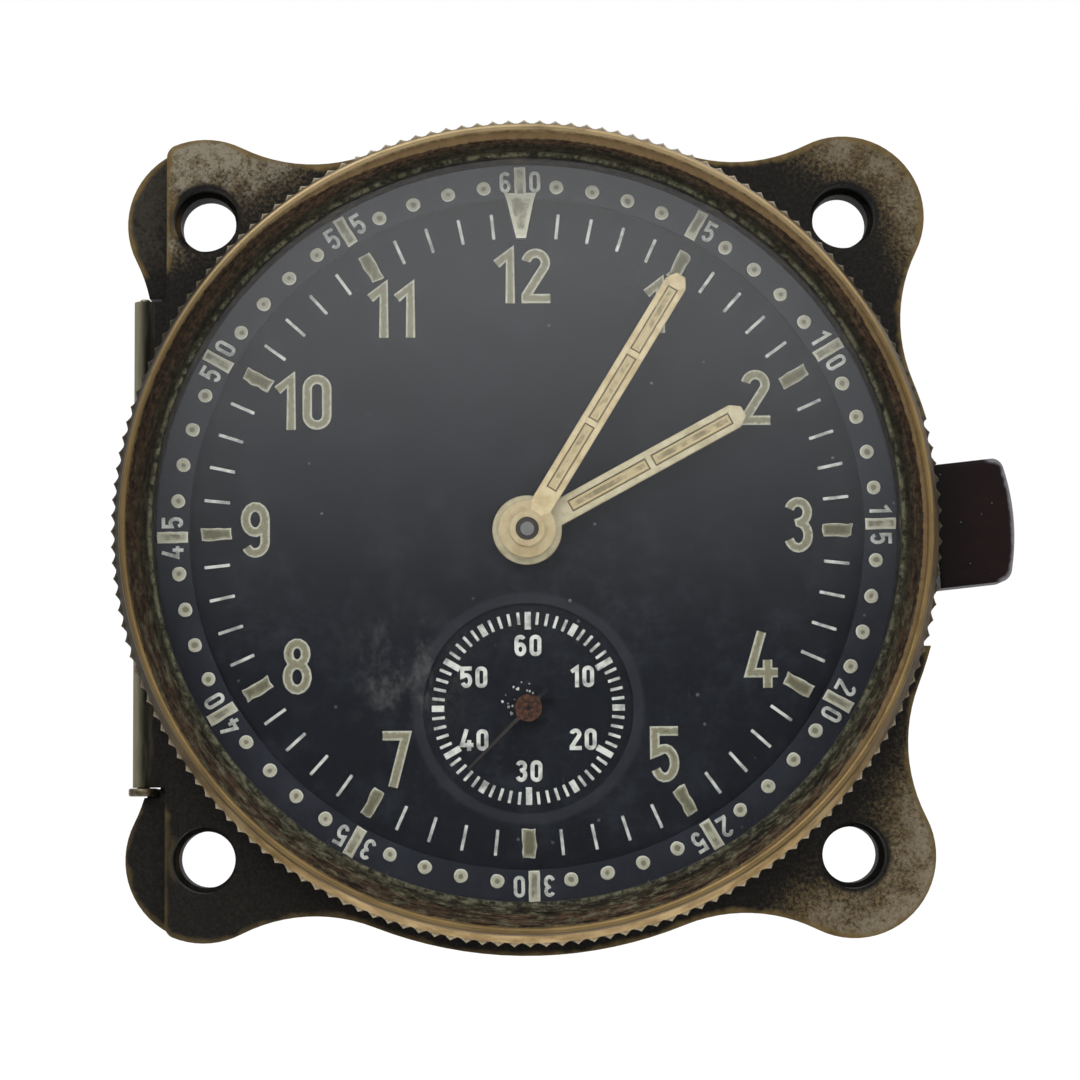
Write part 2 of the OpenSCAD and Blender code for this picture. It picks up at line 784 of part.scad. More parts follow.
module movement_back_plate() {
  color(brass) face() difference() {
    post(0, 0, move_back_r, move_back_rear, move_back_z);
    post(0, 0, centre_arbor_r + run, -can_depth, 0);
    post(fourth_x, fourth_y, pivot_r + run, -can_depth, 0);
    post(third_x, third_y, pivot_r + run, -can_depth, 0);
    post(escape_x, escape_y, pivot_r + run, -can_depth, 0);
    post(pallet_x, pallet_y, pivot_r + run, -can_depth, 0);
    post(balance_x, balance_y, staff_r + 0.6, -can_depth, 0);
    post(barrel_x, barrel_y, barrel_bore + run, -can_depth, 0);
    post(cock_x, cock_y, pillar_screw_r, -can_depth, 0);
    translate([barrel_x, barrel_y, 0]) rotate(click_dir) post(click_at, 0, pillar_screw_r, -can_depth, 0);
    for (a = pillar_angles) rotate(a) post(pillar_at, 0, pillar_screw_r, -can_depth, 0);
  }
}

module pillars() {
  color(brass) face() for (a = pillar_angles) rotate(a) translate([pillar_at, 0, 0]) difference() {
    post(0, 0, pillar_r, move_back_z, move_front_back);
    post(0, 0, pillar_screw_r, move_front_back - 1.6, move_front_back + over);
    post(0, 0, pillar_screw_r, move_back_z - over, move_back_z + 1.6);
  }
}

module pillar_screws() {
  color(blued) face() for (a = pillar_angles) rotate(a) translate([pillar_at, 0, 0]) {
    post(0, 0, pillar_screw_r, move_front_back - 1.5, move_front_z + 0.1);
    post(0, 0, pillar_screw_head_r, move_front_z, move_front_z + screw_head_t);
    post(0, 0, pillar_screw_r, move_back_rear - 0.1, move_back_z + 1.5);
    post(0, 0, pillar_screw_head_r, move_back_rear - screw_head_t, move_back_rear);
  }
}

module movement_screws() {
  color(blued) face() for (a = move_screw_angles) rotate(a) translate([move_screw_at, 0, 0]) {
    post(0, 0, move_screw_r, move_front_back - 0.1, move_front_z + 0.8);
    post(0, 0, pillar_screw_head_r, move_front_back - screw_head_t, move_front_back);
  }
}

module centre_arbor() {
  color(steel) face() {
    post(0, 0, centre_arbor_r, knob_z + 0.3, minute_hand_z + boss_t);
    leaves_on(centre_leaves, barrel_m, mesh_phase(barrel_n, centre_leaves, barrel_dir + 180),
      centre_pinion_z, centre_pinion_z + 1.2);
    post(0, 0, 1.3, centre_wheel_z - 0.5, centre_wheel_z);
  }
}

module centre_wheel() {
  color(brass) face() translate([0, 0, centre_wheel_z])
    spoked_wheel(centre_n, centre_m, third_leaves, 0, centre_arbor_r, 1.7, 5, wheel_t);
}

module cannon_pinion() {
  color(steel) face() difference() {
    union() {
      leaves_on(cannon_n, motion_m, 0, cannon_z, cannon_z + 0.6);
      post(0, 0, cannon_r, cannon_z, minute_hand_z + boss_t - 0.1);
    }
    post(0, 0, centre_arbor_r, 0, rim_front);
  }
}

module minute_wheel() {
  color(brass) face() translate([stud_x, stud_y, 0]) difference() {
    union() {
      translate([0, 0, minute_wheel_z]) linear_extrude(wheel_t)
        toothed(minute_n, half_tooth(minute_n, motion_m, cannon_n), mesh_phase(cannon_n, minute_n, stud_dir));
      leaves_on(minute_leaves, hour_m, 0, minute_wheel_z + wheel_t - 0.05, minute_wheel_z + 1.25);
    }
    post(0, 0, stud_r + run, 0, dial_z);
  }
}

module minute_wheel_stud() {
  color(steel) face() translate([stud_x, stud_y, 0]) {
    post(0, 0, stud_r, move_front_back + 0.3, minute_wheel_z + 1.4);
    post(0, 0, stud_r + 0.25, minute_wheel_z + 1.3, minute_wheel_z + 1.45);
  }
}

module hour_wheel() {
  color(brass) face() difference() {
    union() {
      translate([0, 0, hour_wheel_z]) linear_extrude(wheel_t) toothed(hour_n,
        half_tooth(hour_n, hour_m, minute_leaves), mesh_phase(minute_leaves, hour_n, stud_dir + 180));
      post(0, 0, hour_pipe_r, hour_wheel_z, hour_hand_z + hour_hand_t);
    }
    post(0, 0, hour_pipe_in, 0, rim_front);
  }
}

module third_arbor() {
  color(steel) face() translate([third_x, third_y, 0]) {
    arbor(third_arbor_r);
    leaves_on(third_leaves, centre_m, mesh_phase(centre_n, third_leaves, third_dir),
      centre_wheel_z - 0.25, centre_wheel_z + wheel_t + 0.25);
    post(0, 0, 1, third_wheel_z + wheel_t, third_wheel_z + wheel_t + 0.5);
  }
}

module third_wheel() {
  color(brass) face() translate([third_x, third_y, third_wheel_z])
    spoked_wheel(third_n, third_m, fourth_leaves, 0, third_arbor_r, 1.4, 4, wheel_t);
}

module fourth_arbor() {
  color(steel) face() translate([fourth_x, fourth_y, 0]) {
    arbor(fourth_arbor_r);
    post(0, 0, seconds_pivot_r, arbor_top - 0.1, seconds_hand_z + seconds_hand_t);
    leaves_on(fourth_leaves, third_m, mesh_phase(third_n, fourth_leaves, fourth_dir),
      third_wheel_z - 0.3, third_wheel_z + wheel_t + 0.3);
    post(0, 0, 1, fourth_wheel_z + wheel_t, fourth_wheel_z + wheel_t + 0.4);
  }
}

module fourth_wheel() {
  color(brass) face() translate([fourth_x, fourth_y, fourth_wheel_z])
    spoked_wheel(fourth_n, fourth_m, escape_leaves, 0, fourth_arbor_r, 1.4, 4, wheel_t);
}

module escape_arbor() {
  color(steel) face() translate([escape_x, escape_y, 0]) {
    post(0, 0, escape_arbor_r, arbor_bottom - pivot_len, arbor_top + pivot_len);
    leaves_on(escape_leaves, fourth_m, mesh_phase(fourth_n, escape_leaves, escape_dir),
      fourth_wheel_z - 0.4, fourth_wheel_z + wheel_t + 0.4);
    post(0, 0, 0.8, escape_wheel_z - 0.4, escape_wheel_z);
  }
}

module escape_wheel() {
  color(brass) face() translate([escape_x, escape_y, escape_wheel_z]) linear_extrude(wheel_t) difference() {
    polygon([for (i = [0:escape_n - 1]) for (p = [[escape_r, 0], [escape_r - 0.85, 5], [escape_r - 0.85, 20]])
      [p[0] * cos(p[1] + i * 360 / escape_n), p[0] * sin(p[1] + i * 360 / escape_n)]]);
    difference() {
      circle(r = escape_r - 1.25);
      circle(r = 1);
      for (a = [0:90:270]) rotate(a) translate([0, -0.25]) square([escape_r - 1.1, 0.5]);
    }
    circle(r = escape_arbor_r);
  }
}

module pallet_fork() {
  color(steel) face() translate([pallet_x, pallet_y, escape_wheel_z - 0.1]) rotate(pallet_dir)
    linear_extrude(wheel_t + 0.2) difference() {
      union() {
        circle(r = 0.7);
        translate([0, -0.35]) square([3.6, 0.7]);
        translate([3, -0.6]) square([0.75, 1.2]);
        translate([-0.4, -2.5]) square([0.75, 5]);
        for (s = [-1, 1]) translate([-0.85, s * 2.35 - 0.2]) square([0.8, 0.4]);
      }
      circle(r = pallet_arbor_r);
      translate([3.3, -0.25]) square([over, 0.5]);
    }
}

module pallet_arbor() {
  color(steel) face() translate([pallet_x, pallet_y, 0]) {
    arbor(pallet_arbor_r);
    post(0, 0, 0.7, escape_wheel_z - 0.5, escape_wheel_z - 0.1);
  }
}

module balance_wheel() {
  color(brass) face() translate([balance_x, balance_y, balance_z]) linear_extrude(balance_t) difference() {
    circle(r = balance_r);
    difference() {
      circle(r = balance_r - balance_rim);
      circle(r = 1.2);
      for (a = [30, 210]) rotate(a) translate([0, -0.5]) square([balance_r, 1]);
    }
    circle(r = staff_r);
  }
}

module balance_staff() {
  color(steel) face() translate([balance_x, balance_y, 0]) {
    post(0, 0, staff_r, cock_z + cock_t + shoulder, arbor_top);
    post(0, 0, pivot_r, cock_z + 0.1, arbor_top + pivot_len);
    post(0, 0, 1, balance_z + balance_t, balance_z + balance_t + 0.4);
    post(0, 0, hair_in, spring_z, spring_z + hair_t);
    post(0, 0, 1.15, escape_wheel_z + wheel_t + 0.2, escape_wheel_z + wheel_t + 0.6);
    rotate(pallet_dir + 180) post(0.85, 0, 0.15, escape_wheel_z - 0.1, escape_wheel_z + wheel_t + 0.4);
  }
}

module hairspring() {
  color(blued) face() translate([balance_x, balance_y, spring_z])
    difference() {
      spiral(hair_in + 0.05, hair_out, hair_turns, hair_strip, hair_t, cock_dir);
      post(0, 0, hair_in, -over, over);
    }
}

module balance_cock() {
  color(brass) face() difference() {
    union() {
      post(cock_x, cock_y, cock_r, cock_z, move_back_rear);
      post(balance_x, balance_y, cock_r, cock_z, cock_z + cock_t);
      translate([balance_x, balance_y, cock_z]) rotate(cock_dir) {
        block(0, cock_reach, -1.2, 1.2, 0, cock_t);
        block(hair_out, hair_out + 0.6, -0.4, 0.4, 0, spring_z + hair_t - cock_z);
      }
    }
    post(balance_x, balance_y, pivot_r + run, cock_z - over, 0);
    post(cock_x, cock_y, pillar_screw_r, cock_z - over, 0);
  }
}

module cock_screw() {
  color(blued) face() translate([cock_x, cock_y, 0]) {
    post(0, 0, pillar_screw_r, cock_z - 0.1, move_back_rear + 1);
    post(0, 0, pillar_screw_head_r, cock_z - screw_head_t, cock_z);
  }
}

module barrel() {
  color(brass) face() translate([barrel_x, barrel_y, 0]) difference() {
    union() {
      translate([0, 0, barrel_teeth_z]) linear_extrude(barrel_teeth_t)
        toothed(barrel_n, half_tooth(barrel_n, barrel_m, centre_leaves), 0);
      ring(drum_r, drum_r - drum_wall, barrel_teeth_z, drum_top);
    }
    post(0, 0, barrel_bore + run, -can_depth, 0);
  }
}

module barrel_cover() {
  color(brass) face() translate([barrel_x, barrel_y, 0])
    ring(drum_r, barrel_bore + run, drum_top, drum_top + cover_t);
}

module mainspring() {
  color(blued) face() translate([barrel_x, barrel_y, barrel_teeth_z + barrel_teeth_t + 0.1])
    intersection() {
      spiral(spring_in, drum_r - drum_wall + 0.06, spring_turns, spring_strip,
        drum_top - barrel_teeth_z - barrel_teeth_t - 0.2, 0);
      post(0, 0, drum_r - drum_wall, -over, can_depth);
    }
}

module barrel_arbor() {
  color(steel) face() translate([barrel_x, barrel_y, 0]) {
    post(0, 0, barrel_bore, ratchet_z + 0.1, move_front_z - 0.2);
    post(0, 0, core_r, barrel_teeth_z + barrel_teeth_t + 0.1, drum_top - 0.1);
    post(0, 0, key_arbor_r, key_z, ratchet_z + 0.2);
  }
}

module ratchet_wheel() {
  color(steel) face() translate([barrel_x, barrel_y, ratchet_z]) difference() {
    linear_extrude(ratchet_t) difference() {
      polygon([for (i = [0:ratchet_n - 1]) for (p = [[ratchet_r, 0], [ratchet_r - 0.5, 1]])
        [p[0] * cos(p[1] + i * 360 / ratchet_n), p[0] * sin(p[1] + i * 360 / ratchet_n)]]);
      circle(r = key_arbor_r);
    }
    post(0, 0, barrel_bore, 0.1, over);
  }
}

module click() {
  color(steel) face() translate([barrel_x, barrel_y, ratchet_z]) rotate(click_dir) translate([click_at, 0, 0])
    rotate(135.5) linear_extrude(ratchet_t) difference() {
      union() {
        circle(r = 0.9);
        translate([0, -0.35]) square([click_end, 0.7]);
        polygon([[click_end - 0.9, 0.3], [click_end, 0.3], [click_end, 0.52]]);
      }
      circle(r = pillar_screw_r + run);
    }
}

module click_screw() {
  color(blued) face() translate([barrel_x, barrel_y, 0]) rotate(click_dir) translate([click_at, 0, 0]) {
    post(0, 0, pillar_screw_r, ratchet_z - 0.2, move_back_rear + 1);
    post(0, 0, pillar_screw_head_r, ratchet_z - 0.1 - screw_head_t, ratchet_z - 0.1);
  }
}

module click_spring() {
  color(blued) face() translate([barrel_x, barrel_y, ratchet_z]) rotate(click_dir) translate([click_at, 0, 0])
    rotate(135.5) {
      translate([3.6, -1.5, 0]) linear_extrude(ratchet_t) {
        translate([-2.4, 0]) square([2.4, 0.2]);
        translate([-3, -0.5]) square([0.8, 0.9]);
      }
      block(0.6, 1.4, -2, -1.1, 0.3, move_back_rear - ratchet_z);
    }
}

module winding_key() {
  color(brass) face() translate([barrel_x, barrel_y, 0]) difference() {
    union() {
      post(0, 0, 1.7, key_z - 1, back_z - 0.4);
      for (s = [-1, 1]) translate([s * 3.4, 0.5, key_z - 0.4]) rotate([90, 0, 0]) cylinder(r = 2.6, h = 1);
      block(-3.4, 3.4, -0.5, 0.5, key_z - 1, key_z + 1.6);
    }
    post(0, 0, key_arbor_r, key_z, 0);
    for (s = [-1, 1]) translate([s * 3.8, over, key_z - 0.4]) rotate([90, 0, 0])
      cylinder(r = 1, h = 2 * over);
  }
}

module set_knob() {
  color(brass) face() difference() {
    translate([0, 0, knob_z]) linear_extrude(knob_t) polygon([for (i = [0:119])
      let(r = knob_r - (i % 2) * 0.15) [r * cos(i * 3), r * sin(i * 3)]]);
    post(0, 0, centre_arbor_r, knob_z + 0.3, 0);
  }
}

rear_plate();
hinge_pin();
front_plate();
case_can();
case_back();
case_back_screws();
bezel_seat();
seat_screws();
bezel_ring();
bezel_spring();
crystal_gasket();
crystal();
spacer_ring();
chapter_ring();
dial();
hour_hand();
minute_hand();
seconds_hand();
latch_lever();
latch_pivot();
latch_grip();
grip_rivets();
movement_front_plate();
movement_back_plate();
pillars();
pillar_screws();
movement_screws();
centre_arbor();
centre_wheel();
cannon_pinion();
minute_wheel();
minute_wheel_stud();
hour_wheel();
third_arbor();
third_wheel();
fourth_arbor();
fourth_wheel();
escape_arbor();
escape_wheel();
pallet_fork();
pallet_arbor();
balance_wheel();
balance_staff();
hairspring();
balance_cock();
cock_screw();
barrel();
barrel_cover();
mainspring();
barrel_arbor();
ratchet_wheel();
click();
click_screw();
click_spring();
winding_key();
set_knob();
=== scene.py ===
"""Looks of a cockpit clock on a hinged flange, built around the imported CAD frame.

Sizes are in millimetres on the face of the clock: x to three o'clock, y to twelve, z toward the viewer.
"""
import json
import math
import random

import bmesh
import bpy
from mathutils import Matrix, Vector, kdtree


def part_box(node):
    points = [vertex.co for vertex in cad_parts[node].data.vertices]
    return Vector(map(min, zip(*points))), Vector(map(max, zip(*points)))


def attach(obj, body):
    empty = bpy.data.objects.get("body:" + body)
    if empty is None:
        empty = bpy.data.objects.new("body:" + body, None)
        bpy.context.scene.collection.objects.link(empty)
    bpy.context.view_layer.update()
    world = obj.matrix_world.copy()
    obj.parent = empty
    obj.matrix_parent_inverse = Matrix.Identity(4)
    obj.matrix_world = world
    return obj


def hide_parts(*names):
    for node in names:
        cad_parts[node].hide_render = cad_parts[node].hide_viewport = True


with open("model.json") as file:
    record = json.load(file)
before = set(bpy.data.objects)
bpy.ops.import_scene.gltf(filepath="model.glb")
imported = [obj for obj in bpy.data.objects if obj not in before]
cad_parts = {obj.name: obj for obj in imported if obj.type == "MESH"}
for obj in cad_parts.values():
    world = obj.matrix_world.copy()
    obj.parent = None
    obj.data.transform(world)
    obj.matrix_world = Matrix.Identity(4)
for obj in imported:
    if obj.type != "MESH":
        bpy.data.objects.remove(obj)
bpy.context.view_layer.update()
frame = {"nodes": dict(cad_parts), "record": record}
nodes = frame["nodes"]
MM = 0.001
GAP = "edge_gap"

# Distances at which points are merged, in metres
WELD, JOIN = 2e-6, 3e-6

# Dial and chapter ring
TICK_IN, TICK_OUT, TICK_W = 22.02, 23.9, 0.23
BAR_IN, BAR_OUT, BAR_W = TICK_IN - 0.2, TICK_OUT + 0.1, 0.95
NUMERAL_H, NUMERAL_STROKE, NUMERAL_IN = 4.12, 0.7, 0.992
NUMERAL_AT = {12: (-0.2, 19.3), 11: (-10.0, 16.75), 10: (-16.6, 9.85), 9: (-20.2, 0.3), 8: (-17.1, -9.9),
              7: (-9.75, -16.8), 5: (10.05, -16.6), 4: (17.3, -9.65), 3: (20.2, 0.4), 2: (17.15, 10.0),
              1: (9.7, 17.0)}
CHAPTER_DOT_AT, CHAPTER_BAR_AT = 25.7, 26.0
CHAPTER_BAR_L, CHAPTER_BAR_W = 2.25, 0.84
CHAPTER_DIGIT_H, CHAPTER_DIGIT_STROKE, CHAPTER_DIGIT_OFF = 1.58, 0.26, 1.1
DOT_R, DOT_SIDES = 0.52, 18
POINTER_TURN, POINTER_MIDDLE = -0.75, 23.8
POINTER_OUTLINE = ((-1.2, 25.2), (-1.0, 24.65), (-0.36, 21.8), (0.36, 21.8), (1.0, 24.65), (1.2, 25.2))
PRINT_T, LUME_T = 0.02, 0.07
RAGGED, BAR_RAGGED, RAGGED_SCALE = 0.16, 0.48, 1.3
BAR_PARTS, BAR_INSET = 5, 0.22

# Digits: width, spacing and waist as shares of their height, and the parts of an arc
CELL_W, DIGIT_SPREAD, WAIST, ARC_PARTS = 0.52, 0.12, 0.54, 14

# Seconds dial, sunk into the dial, and the radii of the slope between the two
SECONDS_Y, SECONDS_SUNK = -13.0, 0.2
SLOPE_FROM, SLOPE_TO = (7.6, 7.8), (8.7, 8.3)
SECONDS_OUT, SECONDS_IN, SECONDS_LONG_IN = 7.1, 6.18, 5.8
SECONDS_TICK_W, SECONDS_BAR_W, SECONDS_BAR_T = 0.22, 0.46, PRINT_T * 1.2
SECONDS_DIGIT_H, SECONDS_DIGIT_STROKE, SECONDS_DIGIT_AT = 1.58, 0.3, 4.62
SECONDS_DIGIT_WIDE = 1.1

# Radii on the seconds hand where its pivot ends and where its rusted hub ends
PIVOT_EDGE, HUB_EDGE = (0.26, 0.14), (1.0, 1.2)

# Paint flakes round the seconds pivot: ranges of place and shape
FLAKE_SEED, FLAKE_COUNT, FLAKE_T, FLAKE_TOP = 11, 16, 0.04, 0.85
FLAKE_ANGLE, FLAKE_REACH, FLAKE_R = (-110, 70), (1.15, 2.0), (0.05, 0.16)
FLAKE_SIDES, FLAKE_UNEVEN = (5, 7), (0.5, 1.2)

# Hands, with the angles clockwise from twelve
HOUR_AT, HOUR_WINDOW_FROM, HOUR_PANE, HOUR_PANES, HOUR_W = 61.5, 3.6, 6.525, 2, 1.85
MINUTE_AT, MINUTE_WINDOW_FROM, MINUTE_PANE, MINUTE_PANES, MINUTE_W = 31.5, 3.4, 5.5, 3, 1.7
PANE_GAP, PANE_SHARE, PANE_FIT, PANE_T, PANE_INSET = 0.45, 0.48, 0.04, 0.24, 0.3

# Grip: shortened about its middle, lowered by an angle about the latch pivot, with a painted highlight at its
# end
LATCH_X = 25.2
GRIP_MIDDLE, GRIP_SHARE, GRIP_SAG, GRIP_END_HIGHLIGHT = 33.3, 0.86, 3.2, (10.4, 10.9)

# Flange: middle of its holes, and where the finish changes on the hinge side
HOLE_AT = 24.0
FRONT_EDGE_X, BARREL_X, BARREL_END = (-26.95, -26.8), (-27.75, -27.95), (18.7, 18.6)

# Rounded edges: least angle in degrees, steps of a round, longest edge left, spacing of the spots on an edge
EDGE_ANGLE, EDGE_STEPS, LONGEST_EDGE, EDGE_SPOT = 32, 3, 0.8, 0.25
FLAT_ANGLE, SPLITS, NO_EDGE_NEAR = 0.5, 7, 9.0

# Angles in degrees above which an edge is shaded sharp
DRESSED_SHARP, BEZEL_SHARP, STAGE_SHARP = 50, 38, 60

# Rounded corners: from x, to x, least distance from the middle line, radius
CORNER_ROUND = {"front_plate": (-30.0, -25.0, 27.0, 0.9), "latch_grip": (33.0, 45.0, 0.0, 1.0)}
CORNER_STEPS = 6

# Bezel ring
KNURL_R, KNURL_DEPTH, KNURL_COUNT, KNURL_SAMPLES = 30.32, 0.32, 164, 8
KNURL_FROM, KNURL_TO, KNURL_CHAMFER, KNURL_ROUND = 4.0, 7.3, 0.18, 0.8
FLANK_R, FLANK_FROM = 30.0, 7.35
RIM_R, RIM_LEAN, RIM_ROUND, RIM_FRONT = 29.75, 0.45, 0.3, 9.9
SKIRT_R, SKIRT_FROM, FOOT_IN, FOOT_UP = 28.95, 3.75, 0.15, 0.12
BORE_R, BORE_FROM, LIP_UNDER, VIEW_R = 28.0, 6.75, 9.0, 27.0

# The bead's fall into its groove, in from the crest and down, and the slope, out from the view and its height
BEAD_FALL = ((0.1, 0.03), (0.18, 0.1), (0.22, 0.2), (0.25, 0.32), (0.34, 0.36))
LIP_SLOPE = ((0.85, 9.46), (0.7, 9.48), (0.5, 9.41), (0.3, 9.31), (0.14, 9.24), (0.03, 9.18), (0, 9.1))

# Radii where the finish goes from slope to bead and from bead to side
BEAD_EDGE, SIDE_EDGE = (28.72, 28.82), (29.28, 29.36)

# Tent light: rise of a ray where it is dim and where it is bright, and both strengths
TENT_LOW, TENT_HIGH, TENT_DIM, TENT_BRIGHT = 0.042, 0.28, 0.03, 1.25

# Lamps: place in metres and power
LAMPS = {"key": ((-0.35, -0.6, 0.5), 3.0), "fill": ((0.5, -0.55, 0.25), 1.4),
         "back_light": ((0.3, 0.6, 0.5), 2.0)}
LAMP_SIZE = 0.5

# Camera: lens, sensor and shift, place in millimetres of the frame, turn from square to the dial in radians
LENS, SENSOR, SHIFT_X, SHIFT_Y, CLIP_FROM = 75.03, 36.0, 0.003, 0.1, 0.01
EYE, EYE_TURN = (-0.76, -170.2, -19.6), (0.0666, 0.0078, -0.008)

# Stage in metres: floor and its near edge, backdrop and its top, half width, radius of the bend
FLOOR_Z, FLOOR_FROM, BACK_Y, BACK_TOP, STAGE_HALF, BEND_R = -0.11, -0.3, 0.9, 1.4, 1.6, 0.4
STAGE_TINT, STAGE_GLOW = (246, 246, 244), 0.9


def at(x, y, z):
    """A point on the face of the clock as a place in the frame, in metres."""
    return Vector((x, -z, y)) * MM


def face_z(node):
    """Height of a node's front above the mount face, in millimetres."""
    return -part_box(node)[0].y / MM


def turned(x, y, degrees):
    """A point turned clockwise about the centre of the dial."""
    a = math.radians(degrees)
    return x * math.cos(a) + y * math.sin(a), y * math.cos(a) - x * math.sin(a)


class Stock:
    """Points, faces and each point's distance from the nearest edge, gathered for one mesh."""

    def __init__(self):
        self.points, self.faces, self.gaps = [], [], []

    def ring(self, places, gaps):
        first = len(self.points)
        self.points += [at(*p) for p in places]
        self.gaps += list(gaps)
        return list(range(first, len(self.points)))

    def skin(self, rings, around=True, along=False):
        """Joins rings of equal length with quads."""
        for a, b in zip(rings, rings[1:] + rings[:1] if along else rings[1:]):
            n = len(a)
            for i in range(n if around else n - 1):
                j = (i + 1) % n
                self.faces.append((a[i], a[j], b[j], b[i]))

    def cap(self, ring):
        self.faces.append(tuple(ring))

    def close(self, rings):
        """Joins rings and caps both ends."""
        self.skin(rings)
        self.cap(rings[0])
        self.cap(rings[-1])

    def mesh(self, name):
        made = bpy.data.meshes.new(name)
        made.from_pydata(self.points, [], self.faces)
        made.attributes.new(GAP, "FLOAT", "POINT").data.foreach_set("value", self.gaps)
        bm = bmesh.new()
        bm.from_mesh(made)
        bmesh.ops.recalc_face_normals(bm, faces=bm.faces)
        bm.to_mesh(made)
        bm.free()
        return made


def smooth(mesh, degrees):
    mesh.shade_smooth()
    mesh.set_sharp_from_angle(angle=math.radians(degrees))


def piece(name, mesh, body, finish, slot, *stands_for):
    """A finished piece: its mesh in place, its material, the body it rides on and the nodes it stands for."""
    made = bpy.data.objects.new(name, mesh)
    bpy.context.scene.collection.objects.link(made)
    mesh.materials.clear()
    mesh.materials.append(finish)
    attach(made, body)
    if stands_for:
        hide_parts(*stands_for)


def painted(name, mesh, body, finish):
    """A piece of paint or print."""
    piece(name, mesh, body, finish, "hand_cream")


def arc(cx, cy, rx, ry, start, end):
    """A run of points on an ellipse between two angles."""
    angles = [math.radians(start + (end - start) * i / ARC_PARTS) for i in range(ARC_PARTS + 1)]
    return [(cx + rx * math.cos(a), cy + ry * math.sin(a)) for a in angles]


def strokes(digit, half):
    """Width of a digit's cell, one high, and its strokes of that half width, as (points, closed)."""
    low, high = half, 1 - half
    left, right = half, CELL_W - half
    mid, bow = (left + right) / 2, (right - left) / 2
    cup, bowl = (high - WAIST) / 2, (WAIST - low) / 2
    if digit == "0":
        top = arc(mid, high - bow, bow, bow, 0, 180)
        return CELL_W, [(top + arc(mid, low + bow, bow, bow, 180, 360), True)]
    if digit == "1":
        return 0.36, [([(0.03, 0.72), (0.36 - half, high), (0.36 - half, 0)], False)]
    if digit == "2":
        top = arc(mid, high - bow, bow, bow, 170, -25)
        return CELL_W, [(top + [(left, low + 0.06), (left, low), (CELL_W, low)], False)]
    if digit == "3":
        top = arc(mid, high - cup, bow * 0.95, cup, 160, -80)
        return CELL_W, [(top + arc(mid, low + bowl, bow, bowl, 80, -160), False)]
    if digit == "4":
        stem = 0.40
        return 0.58, [([(0.30, 1.0), (left, 0.27), (0.58, 0.27)], False), ([(stem, 0.5), (stem, 0)], False)]
    if digit == "5":
        belly = (0.6 - low) / 2
        run = [(0.5, high), (left, high), (left, 0.53)]
        return CELL_W, [(run + arc(mid, low + belly, bow, belly, 122, -155), False)]
    if digit == "7":
        return 0.5, [([(0.0, high), (0.5 - half, high), (0.18, 0)], False)]
    if digit == "8":
        loops = arc(mid, high - cup, bow * 0.88, cup, 0, 350), arc(mid, low + bowl, bow, bowl, 0, 350)
        return CELL_W, [(loop, True) for loop in loops]
    cup = 0.23
    loop = arc(mid, high - cup, bow, cup, 0, 350)
    tail = [(right, high - cup), (right, low + 0.2)] + arc(mid, low + 0.2, bow, 0.2, -10, -150)
    nine = [(loop, True), (tail, False)]
    if digit == "9":
        return CELL_W, nine
    return CELL_W, [([(CELL_W - x, 1 - y) for x, y in run], closed) for run, closed in nine]


def lay_stroke(stock, run, closed, half, z, rise):
    """A painted stroke: a low closed bar with a crowned top along a run of points."""
    n = len(run)
    section = ((-1, 0, 0), (-0.8, 0.8, 0.2), (0, 1, 1), (0.8, 0.8, 0.2), (1, 0, 0))
    rings = []
    for i, (x, y) in enumerate(run):
        before = run[i - 1] if i or closed else None
        after = run[(i + 1) % n] if i < n - 1 or closed else None
        ways = []
        for a, b in ((before, (x, y)), ((x, y), after)):
            if a and b:
                d = Vector((b[0] - a[0], b[1] - a[1]))
                ways.append(d.normalized())
        way = sum(ways, Vector((0, 0))).normalized()
        lean = max(0.5, way.dot(ways[0]))
        side = Vector((-way.y, way.x)) * half / lean
        places = [(x + side.x * s, y + side.y * s, z + rise * h) for s, h, _ in section]
        rings.append(stock.ring(places, [half * g for _, _, g in section]))
    if closed:
        stock.skin(rings, along=True)
    else:
        stock.close(rings)


def numeral(stock, text, x, y, height, stroke, z, rise, turn=0.0, wide=1.0):
    """Lays a number with its middle at a place on the dial, turned clockwise."""
    half = stroke / height / 2
    cells = [strokes(c, half) for c in text]
    width = sum(w for w, _ in cells) + DIGIT_SPREAD * (len(cells) - 1)
    reach = -width / 2
    for cell, runs in cells:
        for run, closed in runs:
            spots = [turned((px + reach) * height * wide, (py - 0.5) * height, turn) for px, py in run]
            lay_stroke(stock, [(x + sx, y + sy) for sx, sy in spots], closed, stroke / 2, z, rise)
        reach += cell + DIGIT_SPREAD


def lay_bar(stock, x0, x1, y0, y1, z, rise, inset=BAR_INSET, angle=0.0, parts=1):
    """A painted bar with sloping sides and a sunken middle, turned clockwise about the dial's centre."""
    w = min(x1 - x0, y1 - y0) / 2

    def loop(shrink, h, gap):
        s = w * shrink
        left, right, low, high = x0 + s, x1 - s, y0 + s, y1 - s
        corners = [Vector(c) for c in ((left, low), (right, low), (right, high), (left, high))]
        run = [a.lerp(b, i / parts) for a, b in zip(corners, corners[1:] + corners[:1]) for i in range(parts)]
        places = [(*turned(c.x, c.y, angle), z + rise * h) for c in run]
        return stock.ring(places, [gap * w] * len(run))

    stock.close([loop(0, 0, 0), loop(inset * 0.4, 0.9, 0.1), loop(inset, 1, 0.3), loop(0.6, 0.8, 1)])


def bar_at_twelve(width, inner, outer, z, rise, parts=1):
    """One painted bar between two radii, ready to be repeated round a dial."""
    bar = Stock()
    lay_bar(bar, -width / 2, width / 2, inner, outer, z, rise, parts=parts)
    return bar


